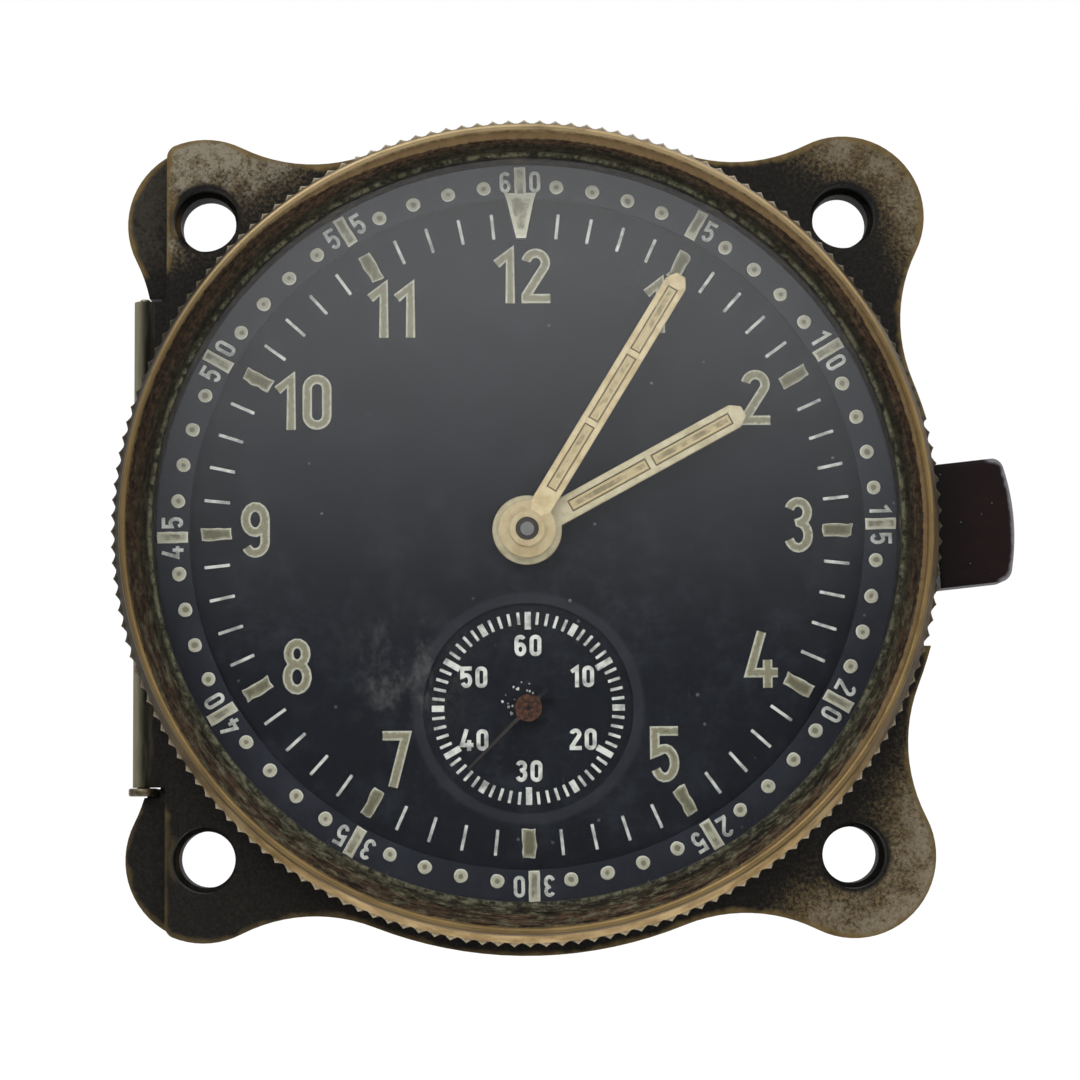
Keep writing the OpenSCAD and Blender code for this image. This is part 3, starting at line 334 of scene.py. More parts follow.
def lay_dot(stock, x, y, r, z, rise):
    """A dot of paint with a raised rim and a hollow."""
    rings = []
    for share, h, gap in ((1, 0, 0), (0.92, 0.8, 0.1), (0.7, 1, 0.4), (0.4, 0.75, 0.7), (0.14, 0.55, 1)):
        angles = [2 * math.pi * i / DOT_SIDES for i in range(DOT_SIDES)]
        places = [(x + r * share * math.cos(a), y + r * share * math.sin(a), z + rise * h) for a in angles]
        rings.append(stock.ring(places, [gap * r] * DOT_SIDES))
    stock.close(rings)


def add_node(tree, kind, **joins):
    """Adds a node, sets its options, and joins or fills its inputs, by name or by place such as _0."""
    made = tree.nodes.new(kind)
    for key, value in joins.items():
        if hasattr(made, key) and not key.startswith("_"):
            setattr(made, key, value)
            continue
        socket = made.inputs[int(key[1:])] if key[1:].isdigit() else made.inputs[key.replace("_", " ")]
        if isinstance(value, bpy.types.NodeSocket):
            tree.links.new(value, socket)
        else:
            socket.default_value = value
    return made


def ring_tree():
    """Geometry Nodes that repeat one shape round the axis of a dial and make a single mesh of it."""
    tree = bpy.data.node_groups.new("copies_round_axis", "GeometryNodeTree")
    face = tree.interface
    for name, kind in (("Shape", "Geometry"), ("Count", "Int"), ("First Angle", "Float"),
                       ("Step Angle", "Float"), ("Leave Out Every", "Int"), ("Centre", "Vector"),
                       ("Weld", "Float"), ("Ragged", "Float"), ("Finish", "Material")):
        face.new_socket(name, in_out="INPUT", socket_type="NodeSocket" + kind)
    face.new_socket("Copies", in_out="OUTPUT", socket_type="NodeSocketGeometry")

    def add(kind, **joins):
        return add_node(tree, kind, **joins)

    given = tree.nodes.new("NodeGroupInput").outputs
    index = add("GeometryNodeInputIndex").outputs[0]
    spots = add("GeometryNodePoints", Count=given["Count"])
    along = add("ShaderNodeMath", operation="MULTIPLY", _0=index, _1=given["Step Angle"])
    angle = add("ShaderNodeMath", operation="ADD", _0=along.outputs[0], _1=given["First Angle"])
    turn = add("FunctionNodeAxisAngleToRotation", Axis=(0, 1, 0), Angle=angle.outputs[0])
    rest = add("ShaderNodeMath", operation="MODULO", _0=index, _1=given["Leave Out Every"])
    all_kept = add("ShaderNodeMath", operation="LESS_THAN", _0=given["Leave Out Every"], _1=0.5)
    kept = add("ShaderNodeMath", operation="ADD", _0=rest.outputs[0], _1=all_kept.outputs[0])
    copies = add("GeometryNodeInstanceOnPoints", Points=spots.outputs[0], Selection=kept.outputs[0],
                 Instance=given["Shape"], Rotation=turn.outputs[0])
    real = add("GeometryNodeRealizeInstances", Geometry=copies.outputs[0])
    moved = add("GeometryNodeTransform", Geometry=real.outputs[0], Translation=given["Centre"])
    welded = add("GeometryNodeMergeByDistance", Geometry=moved.outputs[0], Distance=given["Weld"])
    spot = add("GeometryNodeInputPosition").outputs[0]
    unrest = add("ShaderNodeTexNoise", Vector=spot, Scale=RAGGED_SCALE / MM, Detail=1.0).outputs["Color"]
    centred = add("ShaderNodeVectorMath", operation="SUBTRACT", _0=unrest, _1=(0.5, 0.5, 0.5)).outputs[0]
    in_plane = add("ShaderNodeVectorMath", operation="MULTIPLY", _0=centred, _1=(1, 0, 1)).outputs[0]
    shift = add("ShaderNodeVectorMath", operation="SCALE", _0=in_plane, Scale=given["Ragged"]).outputs[0]
    uneven = add("GeometryNodeSetPosition", Geometry=welded.outputs[0], Offset=shift)
    coated = add("GeometryNodeSetMaterial", Geometry=uneven.outputs[0], Material=given["Finish"])
    out = tree.nodes.new("NodeGroupOutput")
    tree.links.new(coated.outputs[0], out.inputs[0])
    return tree


RING_TREE = ring_tree()


def ring_of(name, shape, count, finish, first=0.0, centre=(0, 0, 0), leave_out=0, weld=0.0, ragged=0.0):
    """A plain mesh of copies of a shape drawn at twelve, spread evenly clockwise round an axis."""
    holder = bpy.data.objects.new(name, shape)
    bpy.context.scene.collection.objects.link(holder)
    copies = holder.modifiers.new("copies", "NODES")
    copies.node_group = RING_TREE
    values = {"Count": count, "First Angle": math.radians(first), "Step Angle": 2 * math.pi / count,
              "Leave Out Every": leave_out, "Centre": at(*centre), "Weld": weld, "Ragged": ragged * MM,
              "Finish": finish}
    for item in RING_TREE.interface.items_tree:
        if item.in_out == "INPUT" and item.name in values:
            copies[item.identifier] = values[item.name]
    ready = holder.evaluated_get(bpy.context.evaluated_depsgraph_get())
    made = bpy.data.meshes.new_from_object(ready)
    made.name = name
    bpy.data.objects.remove(holder)
    return made


def painted_ring(name, mark, count, body, finish, **spread):
    """A piece made of copies of one painted mark round a dial."""
    painted(name, ring_of(name, mark.mesh(name + "_mark"), count, finish, **spread), body, finish)


def sharp_edges(bm):
    limit = math.radians(EDGE_ANGLE)
    return [e for e in bm.edges if len(e.link_faces) == 2 and e.calc_face_angle(0) > limit]


def round_off(bm, edges, size, steps):
    bmesh.ops.bevel(bm, geom=edges, offset=size * MM, segments=steps, profile=0.5, affect="EDGES",
                    clamp_overlap=True)


def round_corners(bm, start, end, far, size):
    """Rounds the corners of an outline, which are the sharp edges that run from front to back."""
    corners = [e for e in sharp_edges(bm)
               if all(start < v.co.x / MM < end and abs(v.co.z) / MM > far for v in e.verts)
               and abs(e.verts[0].co.y - e.verts[1].co.y) > 0.9 * e.calc_length()]
    round_off(bm, corners, size, CORNER_STEPS)


def fit_grip(bm):
    """Shortens the grip about its middle and lowers it about the latch pivot."""
    pivot, middle = Matrix.Translation(at(LATCH_X, 0, 0)), Matrix.Translation(at(GRIP_MIDDLE, 0, 0))
    sag = pivot @ Matrix.Rotation(math.radians(GRIP_SAG), 4, "Y") @ pivot.inverted()
    shorter = middle @ Matrix.Diagonal((GRIP_SHARE, 1, 1, 1)) @ middle.inverted()
    bmesh.ops.transform(bm, matrix=sag @ shorter, verts=bm.verts)


def dressed(node, bevel):
    """A copy of a node's solid with rounded edges, fine enough to carry distances from the nearest edge."""
    bm = bmesh.new()
    bm.from_mesh(nodes[node].data)
    bmesh.ops.remove_doubles(bm, verts=bm.verts, dist=WELD)
    bmesh.ops.dissolve_limit(bm, angle_limit=math.radians(FLAT_ANGLE), verts=bm.verts, edges=bm.edges)
    if node in CORNER_ROUND:
        round_corners(bm, *CORNER_ROUND[node])
    edges = sharp_edges(bm)
    spots = []
    for e in edges:
        a, b = (v.co.copy() for v in e.verts)
        steps = max(1, int((b - a).length / (EDGE_SPOT * MM)))
        spots += [a.lerp(b, i / steps) for i in range(steps + 1)]
    round_off(bm, edges, bevel, EDGE_STEPS)
    bmesh.ops.triangulate(bm, faces=bm.faces)
    for _ in range(SPLITS):
        long = [e for e in bm.edges if e.calc_length() > LONGEST_EDGE * MM]
        if not long:
            break
        bmesh.ops.subdivide_edges(bm, edges=long, cuts=1)
        bmesh.ops.triangulate(bm, faces=[f for f in bm.faces if len(f.verts) > 3])
    near = kdtree.KDTree(max(1, len(spots)))
    for i, p in enumerate(spots):
        near.insert(p, i)
    near.balance()
    gaps = [near.find(v.co)[2] / MM if spots else NO_EDGE_NEAR for v in bm.verts]
    if node == "latch_grip":
        fit_grip(bm)
    mesh = bpy.data.meshes.new(node + "_dressed")
    bm.to_mesh(mesh)
    bm.free()
    mesh.attributes.new(GAP, "FLOAT", "POINT").data.foreach_set("value", gaps)
    smooth(mesh, DRESSED_SHARP)
    return mesh


def paint(r, g, b):
    """A colour as it looks on screen, 0 to 255, as the linear colour that shaders take."""
    return tuple(((c / 255 + 0.055) / 1.055) ** 2.4 if c > 10 else c / 3294.6 for c in (r, g, b))


class Finish:
    """A procedural material in the making. Places are in millimetres of the frame."""

    def __init__(self, name, roughness=0.5, metallic=0.0, **sockets):
        self.material = bpy.data.materials.new(name)
        self.material.use_nodes = True
        self.tree = self.material.node_tree
        self.shader = self.tree.nodes["Principled BSDF"]
        self.shader.inputs["Roughness"].default_value = roughness
        self.shader.inputs["Metallic"].default_value = metallic
        for key, value in sockets.items():
            self.shader.inputs[key.replace("_", " ")].default_value = value
        spot = self.add("ShaderNodeTexCoord").outputs["Object"]
        self.place = self.vectors("SCALE", spot, Scale=1 / MM)[0]

    def add(self, kind, **joins):
        return add_node(self.tree, kind, **joins)

    def sums(self, operation, a, b=0.0):
        return self.add("ShaderNodeMath", operation=operation, _0=a, _1=b).outputs[0]

    def plus(self, a, b):
        return self.sums("ADD", a, b)

    def less(self, a, b):
        return self.sums("SUBTRACT", a, b)

    def times(self, a, b):
        return self.sums("MULTIPLY", a, b)

    def most(self, a, b):
        return self.sums("MAXIMUM", a, b)

    def sway(self, noise, size):
        """Noise centred on 0, from minus half the size to half of it."""
        return self.times(self.less(noise, 0.5), size)

    def noise(self, scale, detail=5.0, rough=0.6, stretch=(1, 1, 1), shift=(0, 0, 0)):
        spot = self.add("ShaderNodeMapping", Vector=self.place, Scale=stretch, Location=shift).outputs[0]
        made = self.add("ShaderNodeTexNoise", Vector=spot, Scale=scale, Detail=detail, Roughness=rough)
        return made.outputs["Fac"]

    def cells(self, scale):
        return self.add("ShaderNodeTexVoronoi", Vector=self.place, Scale=scale).outputs["Distance"]

    def step(self, value, low, high):
        """0 below low, 1 above high, smooth between. Low may be the larger one."""
        made = self.add("ShaderNodeMapRange", interpolation_type="SMOOTHSTEP", Value=value,
                        From_Min=low, From_Max=high)
        return made.outputs[0]

    def gap(self):
        return self.add("ShaderNodeAttribute", attribute_name=GAP).outputs["Fac"]

    def axis(self, name):
        return self.add("ShaderNodeSeparateXYZ", Vector=self.place).outputs[name]

    def vectors(self, operation, a, **joins):
        return self.add("ShaderNodeVectorMath", operation=operation, _0=a, **joins).outputs

    def flat(self):
        """The place with its depth left out."""
        return self.vectors("MULTIPLY", self.place, _1=(1, 0, 1))[0]

    def radius(self, x=0.0, y=0.0):
        """Distance from the dial's axis, or from a line beside it."""
        return self.vectors("DISTANCE", self.flat(), _1=(x, 0, y))["Value"]

    def streaks(self, across, along, detail=4.0, rough=0.6, shift=0.0):
        """Noise drawn out along circles round the dial's axis."""
        way = self.vectors("NORMALIZE", self.flat())[0]
        around = self.vectors("SCALE", way, Scale=along)[0]
        out = self.plus(self.times(self.radius(), across), shift)
        lift = self.add("ShaderNodeCombineXYZ", Y=out).outputs[0]
        place = self.vectors("ADD", around, _1=lift)[0]
        made = self.add("ShaderNodeTexNoise", Vector=place, Scale=1.0, Detail=detail, Roughness=rough)
        return made.outputs["Fac"]

    def mix(self, share, a, b):
        """Goes from a to b, which are sockets or screen colours."""
        made = self.add("ShaderNodeMix", data_type="RGBA", clamp_factor=True)
        for socket, value in ((made.inputs["Factor"], share), (made.inputs[6], a), (made.inputs[7], b)):
            if isinstance(value, bpy.types.NodeSocket):
                self.tree.links.new(value, socket)
            else:
                socket.default_value = (*paint(*value), 1) if isinstance(value, tuple) else value
        return made.outputs[2]

    def between(self, share, low, high):
        return self.add("ShaderNodeMapRange", Value=share, To_Min=low, To_Max=high).outputs[0]

    def wear(self, socket, value):
        self.tree.links.new(value, self.shader.inputs[socket])

    def bump(self, height, depth, strength):
        made = self.add("ShaderNodeBump", Height=height, Strength=strength, Distance=depth * MM)
        self.tree.links.new(made.outputs[0], self.shader.inputs["Normal"])


def plate_paint():
    """Black paint on brass: rubbed grey and olive on the lugs, brass on outer edges, a barrel with a painted
    highlight on its left and painted shadow on its right.
    """
    f = Finish("plate_paint", Specular_IOR_Level=0.12)
    x, z = f.axis("X"), f.axis("Z")
    grain = f.noise(3.6, detail=6, rough=0.74)
    fine = f.noise(8.0, detail=3)
    clouds = f.noise(0.42, detail=5, rough=0.6, shift=(3, 0, 7))
    black = f.mix(f.step(grain, 0.35, 0.75), (11, 11, 9), (33, 29, 24))
    corner = f.vectors("ABSOLUTE", f.flat())[0]
    from_hole = f.vectors("DISTANCE", corner, _1=(HOLE_AT, 0, HOLE_AT))["Value"]
    from_axis = f.plus(f.radius(), f.between(f.step(x, -12.0, 12.0), 1.4, -1.2))
    low_right = f.times(f.step(x, 8.0, 24.0), f.step(z, 0.0, -14.0))
    from_axis = f.plus(from_axis, f.times(low_right, 2.4))
    reach = f.times(f.step(from_axis, 30.2, 37.4), f.step(f.plus(x, z), -52.0, -4.0))
    reach = f.times(reach, f.between(f.step(from_hole, 2.7, 5.2), 0.74, 1.0))
    reach = f.times(reach, f.most(f.step(x, -23.0, -20.0), f.step(z, 18.0, 22.5)))
    uneven = f.plus(f.sway(clouds, 0.9), f.sway(grain, 2.2))
    rubbed = f.step(f.plus(reach, f.times(uneven, f.between(reach, 0.3, 1.0))), 0.16, 1.0)
    rubbed = f.times(rubbed, f.between(f.step(x, *FRONT_EDGE_X), 0.1, 1.0))
    rubbed = f.times(rubbed, f.step(from_hole, 2.55, 2.95))
    brown = f.mix(grain, (40, 33, 22), (98, 85, 60))
    grey = f.mix(f.step(x, -8.0, 8.0), f.mix(fine, (92, 85, 72), (136, 128, 111)),
                 f.mix(fine, (80, 72, 58), (124, 114, 95)))
    faded = f.plus(f.times(grain, 0.7), f.plus(clouds, f.between(f.step(x, -8.0, 8.0), 0.2, 0.0)))
    faded = f.plus(faded, f.times(f.less(reach, 0.85), 0.55))
    worn = f.mix(f.step(faded, 0.72, 1.06), brown, grey)
    browner = f.plus(f.noise(0.6, detail=7, rough=0.78, shift=(11, 0, 2)), f.between(reach, 0.22, 0.0))
    patches = f.times(f.step(browner, 0.5, 0.6), 0.8)
    worn = f.mix(patches, worn, f.mix(f.step(grain, 0.3, 0.7), (30, 24, 15), (98, 82, 54)))
    body = f.mix(rubbed, black, worn)
    bare = f.step(f.plus(f.gap(), f.sway(clouds, 1.2)), 0.5, 0.05)
    outer = f.times(f.step(f.radius(), 30.3, 31.2), f.step(from_hole, 3.4, 4.2))
    off_middle = f.sums("ABSOLUTE", z)
    by_hinge = f.times(f.step(x, -25.2, -25.8), f.step(off_middle, 20.6, 19.6))
    outer = f.times(outer, f.less(1.0, by_hinge))
    straight = f.times(f.step(x, -25.9, -26.3), f.step(off_middle, 19.6, 20.8))
    shown = f.times(bare, f.most(outer, f.times(straight, 0.6)))
    shown = f.times(shown, f.between(f.step(f.plus(x, z), -50.0, -20.0), 0.45, 1.0))
    brass = f.mix(f.noise(0.8), (62, 50, 31), (122, 103, 66))
    on_barrel = f.times(f.step(x, *BARREL_X), f.step(off_middle, *BARREL_END))
    # Barrel: painted highlight on its left strip and painted shadow on its right, with streaks drawn along it
    lit_side_and_streaks = f.plus(f.step(x, -28.5, -29.3), f.less(f.noise(1.6, detail=4, stretch=(1, 1, 0.12)), 0.5))
    barrel = f.mix(lit_side_and_streaks, (27, 25, 19), (112, 107, 88))
    f.wear("Base Color", f.mix(on_barrel, f.mix(shown, body, brass), barrel))
    f.wear("Metallic", f.most(f.times(shown, 0.6), f.times(on_barrel, 0.35)))
    f.wear("Roughness", f.between(grain, 0.76, 0.52))
    f.bump(f.plus(grain, f.times(rubbed, -0.5)), 0.06, 0.7)
    return f.material


def bezel_brass():
    """Aged brass of the bezel: painted highlights along the top of the bead and the bottom of the side,
    painted shade on the left, teeth dark in their grooves, a dirty slope, verdigris by the glass.
    """
    f = Finish("bezel_brass", Specular_IOR_Level=0.05)
    grain = f.noise(1.8, detail=6, rough=0.7)
    broad = f.noise(0.22, detail=3)
    x, z = f.axis("X"), f.axis("Z")
    low, high = f.step(z, 4.0, -24.0), f.step(z, 10.0, 27.0)
    # Painted shade: the bezel is darker on the left, less so toward the bottom
    left_shade = f.times(f.step(x, -9.0, -27.0), f.between(low, 1.0, 0.3))
    r = f.plus(f.radius(), f.sway(grain, 0.3))
    brass = f.mix(broad, (92, 76, 50), (130, 109, 73))
    # Painted highlight: the bead is lighter along the top
    brass = f.mix(f.times(high, 0.75), brass, (172, 152, 116))
    stain = f.step(f.streaks(1.6, 9.0, detail=5, shift=7.0), 0.5, 0.7)
    # Real stains together with the painted shade on the left
    stain_and_shade = f.most(f.times(stain, 0.4), f.times(left_shade, 0.25))
    crest = f.mix(stain_and_shade, brass, (50, 43, 32))
    scratched = f.plus(f.times(f.streaks(5.0, 14.0, detail=5, rough=0.7), f.between(low, 0.3, 0.8)),
                       f.times(f.streaks(4.0, 64.0, detail=6, rough=0.78), f.between(low, 0.7, 0.2)))
    flecks = f.step(scratched, 0.38, 0.68)
    slope = f.mix(f.step(r, 27.7, 27.95), f.mix(flecks, (13, 12, 9), (50, 46, 34)),
                  f.mix(flecks, (18, 14, 11), (72, 55, 41)))
    rings = f.step(f.streaks(3.2, 1.4, detail=2, shift=19.0), 0.42, 0.62)
    shade = f.most(f.times(rings, 0.45), f.times(left_shade, 0.45))
    slope = f.mix(shade, slope, (17, 15, 11))
    pale = f.times(f.step(f.streaks(3.4, 22.0, detail=6, rough=0.78, shift=3.0), 0.46, 0.68),
                   f.between(low, 0.12, 0.85))
    slope = f.mix(pale, slope, f.mix(grain, (54, 54, 40), (112, 110, 88)))
    verdigris = f.mix(f.step(grain, 0.4, 0.65), (28, 27, 21), (86, 85, 68))
    inner = f.mix(f.step(r, 27.4, 27.15), slope, verdigris)
    inward = f.times(f.times(high, 0.58), f.step(x, -24.0, -6.0))
    inward = f.most(inward, f.times(f.step(x, 8.0, 26.0), 0.3))
    bronze = f.mix(grain, (70, 56, 38), (116, 96, 67))
    inner = f.mix(f.step(f.plus(r, inward), 28.74, 28.84), inner, bronze)
    on_bead = f.step(r, *BEAD_EDGE)
    front = f.mix(on_bead, inner, crest)
    run = f.step(f.streaks(1.2, 12.0, detail=5, shift=11.0), 0.3, 0.7)
    side = f.mix(run, (44, 36, 26), (78, 64, 45))
    # Painted highlight: the side is lighter along the bottom
    side = f.mix(f.step(z, -12.0, -27.0), side, f.mix(run, (120, 97, 60), (172, 147, 104)))
    # Painted shade on the left of the side
    side = f.mix(f.times(left_shade, 0.9), side, (26, 22, 16))
    front = f.mix(f.step(f.radius(), *SIDE_EDGE), front, side)
    seam = f.times(f.step(f.radius(), 29.16, 29.22), f.step(f.radius(), 29.44, 29.36))
    front = f.mix(f.times(seam, 0.7), front, (62, 49, 29))
    sunk = f.step(f.gap(), 0.06, 0.26)
    tips = f.mix(grain, (112, 101, 82), (168, 157, 136))
    # Teeth tips are darker on the left and right than at the top and bottom
    top_or_bottom = f.most(f.step(z, -5.0, -22.0), f.step(z, 15.0, 27.0))
    tips = f.mix(f.between(top_or_bottom, 0.9, 0.0), tips, (36, 31, 23))
    teeth = f.mix(sunk, tips, (14, 11, 8))
    f.wear("Base Color", f.mix(f.step(f.axis("Y"), -KNURL_TO - 0.12, -KNURL_TO + 0.08), front, teeth))
    lustre = f.times(on_bead, f.step(f.radius(), *reversed(SIDE_EDGE)))
    f.wear("Metallic", f.times(lustre, 0.6))
    f.wear("Roughness", f.plus(f.between(lustre, 0.26, 0.0), f.between(grain, 0.5, 0.32)))
    f.bump(f.plus(grain, scratched), 0.04, 0.6)
    return f.material


def worn_brass(name, dark, light, roughness=0.38):
    """Bare brass with cloudy tarnish."""
    f = Finish(name, metallic=0.9)
    grain = f.noise(1.2, detail=6, rough=0.66)
    f.wear("Base Color", f.mix(f.step(grain, 0.34, 0.68), dark, light))
    f.wear("Roughness", f.between(grain, roughness + 0.14, roughness - 0.08))
    f.bump(f.noise(5.0, detail=3), 0.01, 0.4)
    return f.material


def turned_metal(name, dark, light, roughness):
    """Satin metal of the movement and the screws, with fine tool marks."""
    f = Finish(name, metallic=1.0)
    marks = f.noise(6.0, detail=4, stretch=(1, 0.2, 1))
    f.wear("Base Color", f.mix(f.noise(0.6), dark, light))
    f.wear("Roughness", f.between(marks, roughness + 0.1, roughness - 0.06))
    f.bump(marks, 0.006, 0.4)
    return f.material


def case_paint():
    """Satin black paint of the case with scuffs, worn to brass round its back edge."""
    f = Finish("case_paint", Specular_IOR_Level=0.45)
    grain = f.noise(1.6, detail=6, rough=0.7)
    scuffs = f.step(f.noise(0.5, detail=8, rough=0.78, stretch=(1, 3, 0.4)), 0.6, 0.72)
    body = f.mix(grain, (26, 27, 27), (52, 50, 46))
    body = f.mix(f.times(scuffs, 0.6), body, (112, 104, 90))
    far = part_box("case_back")[1] / MM
    inward = f.less(far.x + far.y, f.plus(f.radius(), f.axis("Y")))
    bare = f.step(f.plus(inward, f.sway(grain, 1.4)), 0.4, 0.1)
    f.wear("Base Color", f.mix(bare, body, (124, 102, 66)))
    f.wear("Metallic", f.times(bare, 0.85))
    f.wear("Roughness", f.between(grain, 0.55, 0.34))
    f.bump(f.noise(4.5, detail=4), 0.02, 0.5)
    return f.material


def dial_paint(name, dark, light):
    """Matt blue-black dial paint: dust, faint clouds, rubbed smears, a pale slope round the seconds dial."""
    f = Finish(name, Specular_IOR_Level=0.08)
    grain = f.noise(5.0, detail=4)
    body = f.mix(f.noise(0.12, detail=4), dark, light)
    dust = f.step(f.cells(0.55), 0.085, 0.04)
    dust = f.times(dust, f.step(f.noise(0.8, shift=(1, 5, 3)), 0.5, 0.62))
    specks = f.times(f.step(f.cells(1.5), 0.09, 0.04), f.step(f.noise(0.6, shift=(7, 2, 3)), 0.5, 0.6))
    hairs = f.step(f.noise(0.45, detail=7, rough=0.75, stretch=(3.5, 1, 0.6), shift=(2, 0, 8)), 0.645, 0.72)
    smear = f.step(f.noise(0.5, detail=8, rough=0.75, stretch=(1.2, 1, 0.8), shift=(9, 0, 1)), 0.46, 0.72)
    smear = f.times(smear, f.step(f.radius(-8.8, -10.5), 6.5, 1.0))
    marks = f.most(f.times(dust, 0.5), f.times(hairs, 0.16))
    marks = f.most(marks, f.times(specks, 0.16))
    marks = f.most(marks, f.times(smear, 0.22))
    from_seconds = f.radius(0, SECONDS_Y)
    slope = f.times(f.step(from_seconds, *SLOPE_FROM), f.step(from_seconds, *SLOPE_TO))
    body = f.mix(f.times(slope, 0.4), body, (58, 58, 64))
    body = f.mix(f.times(grain, 0.1), body, (52, 54, 60))
    haze = f.step(f.noise(0.32, detail=9, rough=0.8, shift=(6, 0, 4)), 0.44, 0.78)
    body = f.mix(f.times(haze, 0.22), body, (84, 87, 96))
    f.wear("Base Color", f.mix(marks, body, (150, 148, 140)))
    f.wear("Roughness", f.between(f.noise(0.4), 0.72, 0.62))
    return f.material


def lume(name, rim, fill, stain):
    """Old luminous paint: a pale outline, a dull crumbly fill and dark flecks."""
    f = Finish(name, roughness=0.8, Specular_IOR_Level=0.2)
    grain = f.noise(3.2, detail=5, rough=0.7)
    inside = f.step(f.plus(f.gap(), f.sway(grain, 0.3)), 0.06, 0.2)
    body = f.mix(inside, f.mix(grain, rim, fill), f.mix(grain, fill, stain))
    flecks = f.step(f.noise(2.0, detail=6, rough=0.75, shift=(4, 4, 1)), 0.58, 0.72)
    pit = f.step(f.plus(f.gap(), f.times(f.noise(0.9, shift=(2, 2, 2)), 0.6)), 0.62, 0.78)
    dark = f.most(f.times(flecks, 0.55), f.times(pit, 0.7))
    f.wear("Base Color", f.mix(dark, body, (84, 80, 62)))
    f.bump(grain, 0.03, 0.7)
    return f.material


def white_print():
    """Thin white print that has gone grey in places."""
    f = Finish("white_print", roughness=0.6, Specular_IOR_Level=0.3)
    faded = f.step(f.noise(1.1, detail=5), 0.38, 0.7)
    f.wear("Base Color", f.mix(faded, (214, 214, 207), (134, 134, 131)))
    f.bump(f.noise(6.0), 0.01, 0.5)
    return f.material


def hand_paint(name, clean, left_shade):
    """Cream enamel of a hand, yellowed and spotted."""
    f = Finish(name, Specular_IOR_Level=0.4)
    grain = f.noise(1.1, detail=5)
    body = f.mix(f.step(grain, 0.35, 0.72), clean, left_shade)
    specks = f.step(f.cells(1.6), 0.1, 0.05)
    specks = f.times(specks, f.step(f.noise(0.7, shift=(7, 2, 2)), 0.55, 0.62))
    edge = f.times(f.step(f.gap(), 0.14, 0.02), 0.35)
    f.wear("Base Color", f.mix(f.most(specks, edge), body, (132, 112, 82)))
    f.wear("Roughness", f.between(grain, 0.42, 0.6))
    f.bump(f.noise(4.0, detail=4), 0.012, 0.5)
    return f.material


def rusty_steel():
    """Steel of the seconds hand: rusted round its hub, dull on the blade, blackened on the tail."""
    f = Finish("rusty_steel", Specular_IOR_Level=0.25)
    grain = f.noise(4.0, detail=5, rough=0.7)
    rust = f.mix(f.step(grain, 0.34, 0.66), (30, 20, 15), (92, 57, 39))
    rust = f.mix(f.step(f.radius(0, SECONDS_Y), *PIVOT_EDGE), rust, (18, 13, 11))
    blade = f.mix(f.step(f.axis("X"), 0.5, 0.9), (52, 48, 44), (24, 24, 27))
    f.wear("Base Color", f.mix(f.step(f.radius(0, SECONDS_Y), *HUB_EDGE), rust, blade))
    f.wear("Roughness", f.between(grain, 0.6, 0.85))
    f.bump(grain, 0.05, 0.8)
    return f.material


def moulded_resin():
    """Dark brown resin of the grip, with pale specks and a painted highlight on the edges of its end."""
    f = Finish("moulded_resin", Specular_IOR_Level=0.1)
    cloud = f.times(f.noise(0.5, detail=4, stretch=(1, 1, 2.5)), f.step(f.axis("X"), 28.5, 34.5))
    body = f.mix(cloud, (6, 5, 5), (30, 13, 12))
    specks = f.times(f.step(f.cells(1.1), 0.06, 0.03), 0.7)
    highlight_spread = f.plus(f.gap(), f.sway(f.noise(1.2, detail=4), 0.5))
    # Painted highlight: a pale band along the edges of the grip's end, shown together with the pale specks
    end = f.times(f.step(f.radius(LATCH_X, 0), *GRIP_END_HIGHLIGHT), f.step(highlight_spread, 0.42, 0.1))
    specks_and_highlight = f.most(specks, f.times(end, 0.7))
    f.wear("Base Color", f.mix(specks_and_highlight, body, (122, 120, 126)))
    f.wear("Roughness", f.between(f.noise(1.8, detail=5), 0.38, 0.54))
    f.bump(f.noise(3.0, detail=4), 0.015, 0.4)
    return f.material


def seal_rubber():
    f = Finish("seal_rubber", roughness=0.8)
    f.wear("Base Color", f.mix(f.noise(2.0), (26, 26, 24), (52, 50, 44)))
    f.bump(f.noise(5.0), 0.02, 0.5)
    return f.material


def crystal_glass():
    """Clear glass that lets lamplight through to the dial."""
    f = Finish("crystal_glass", roughness=0.02, Transmission_Weight=1.0, IOR=1.5)
    haze = f.noise(0.25, detail=4)
    f.wear("Base Color", f.mix(haze, (246, 248, 248), (254, 254, 254)))
    path = f.add("ShaderNodeLightPath").outputs
    clear = f.add("ShaderNodeBsdfTransparent", Color=(0.93, 0.94, 0.94, 1)).outputs[0]
    lamps = f.add("ShaderNodeMixShader", _0=path["Is Shadow Ray"], _1=f.shader.outputs[0], _2=clear)
    all_light = f.add("ShaderNodeMixShader", _0=path["Is Diffuse Ray"], _1=lamps.outputs[0], _2=clear)
    f.tree.links.new(all_light.outputs[0], f.tree.nodes["Material Output"].inputs["Surface"])
    return f.material


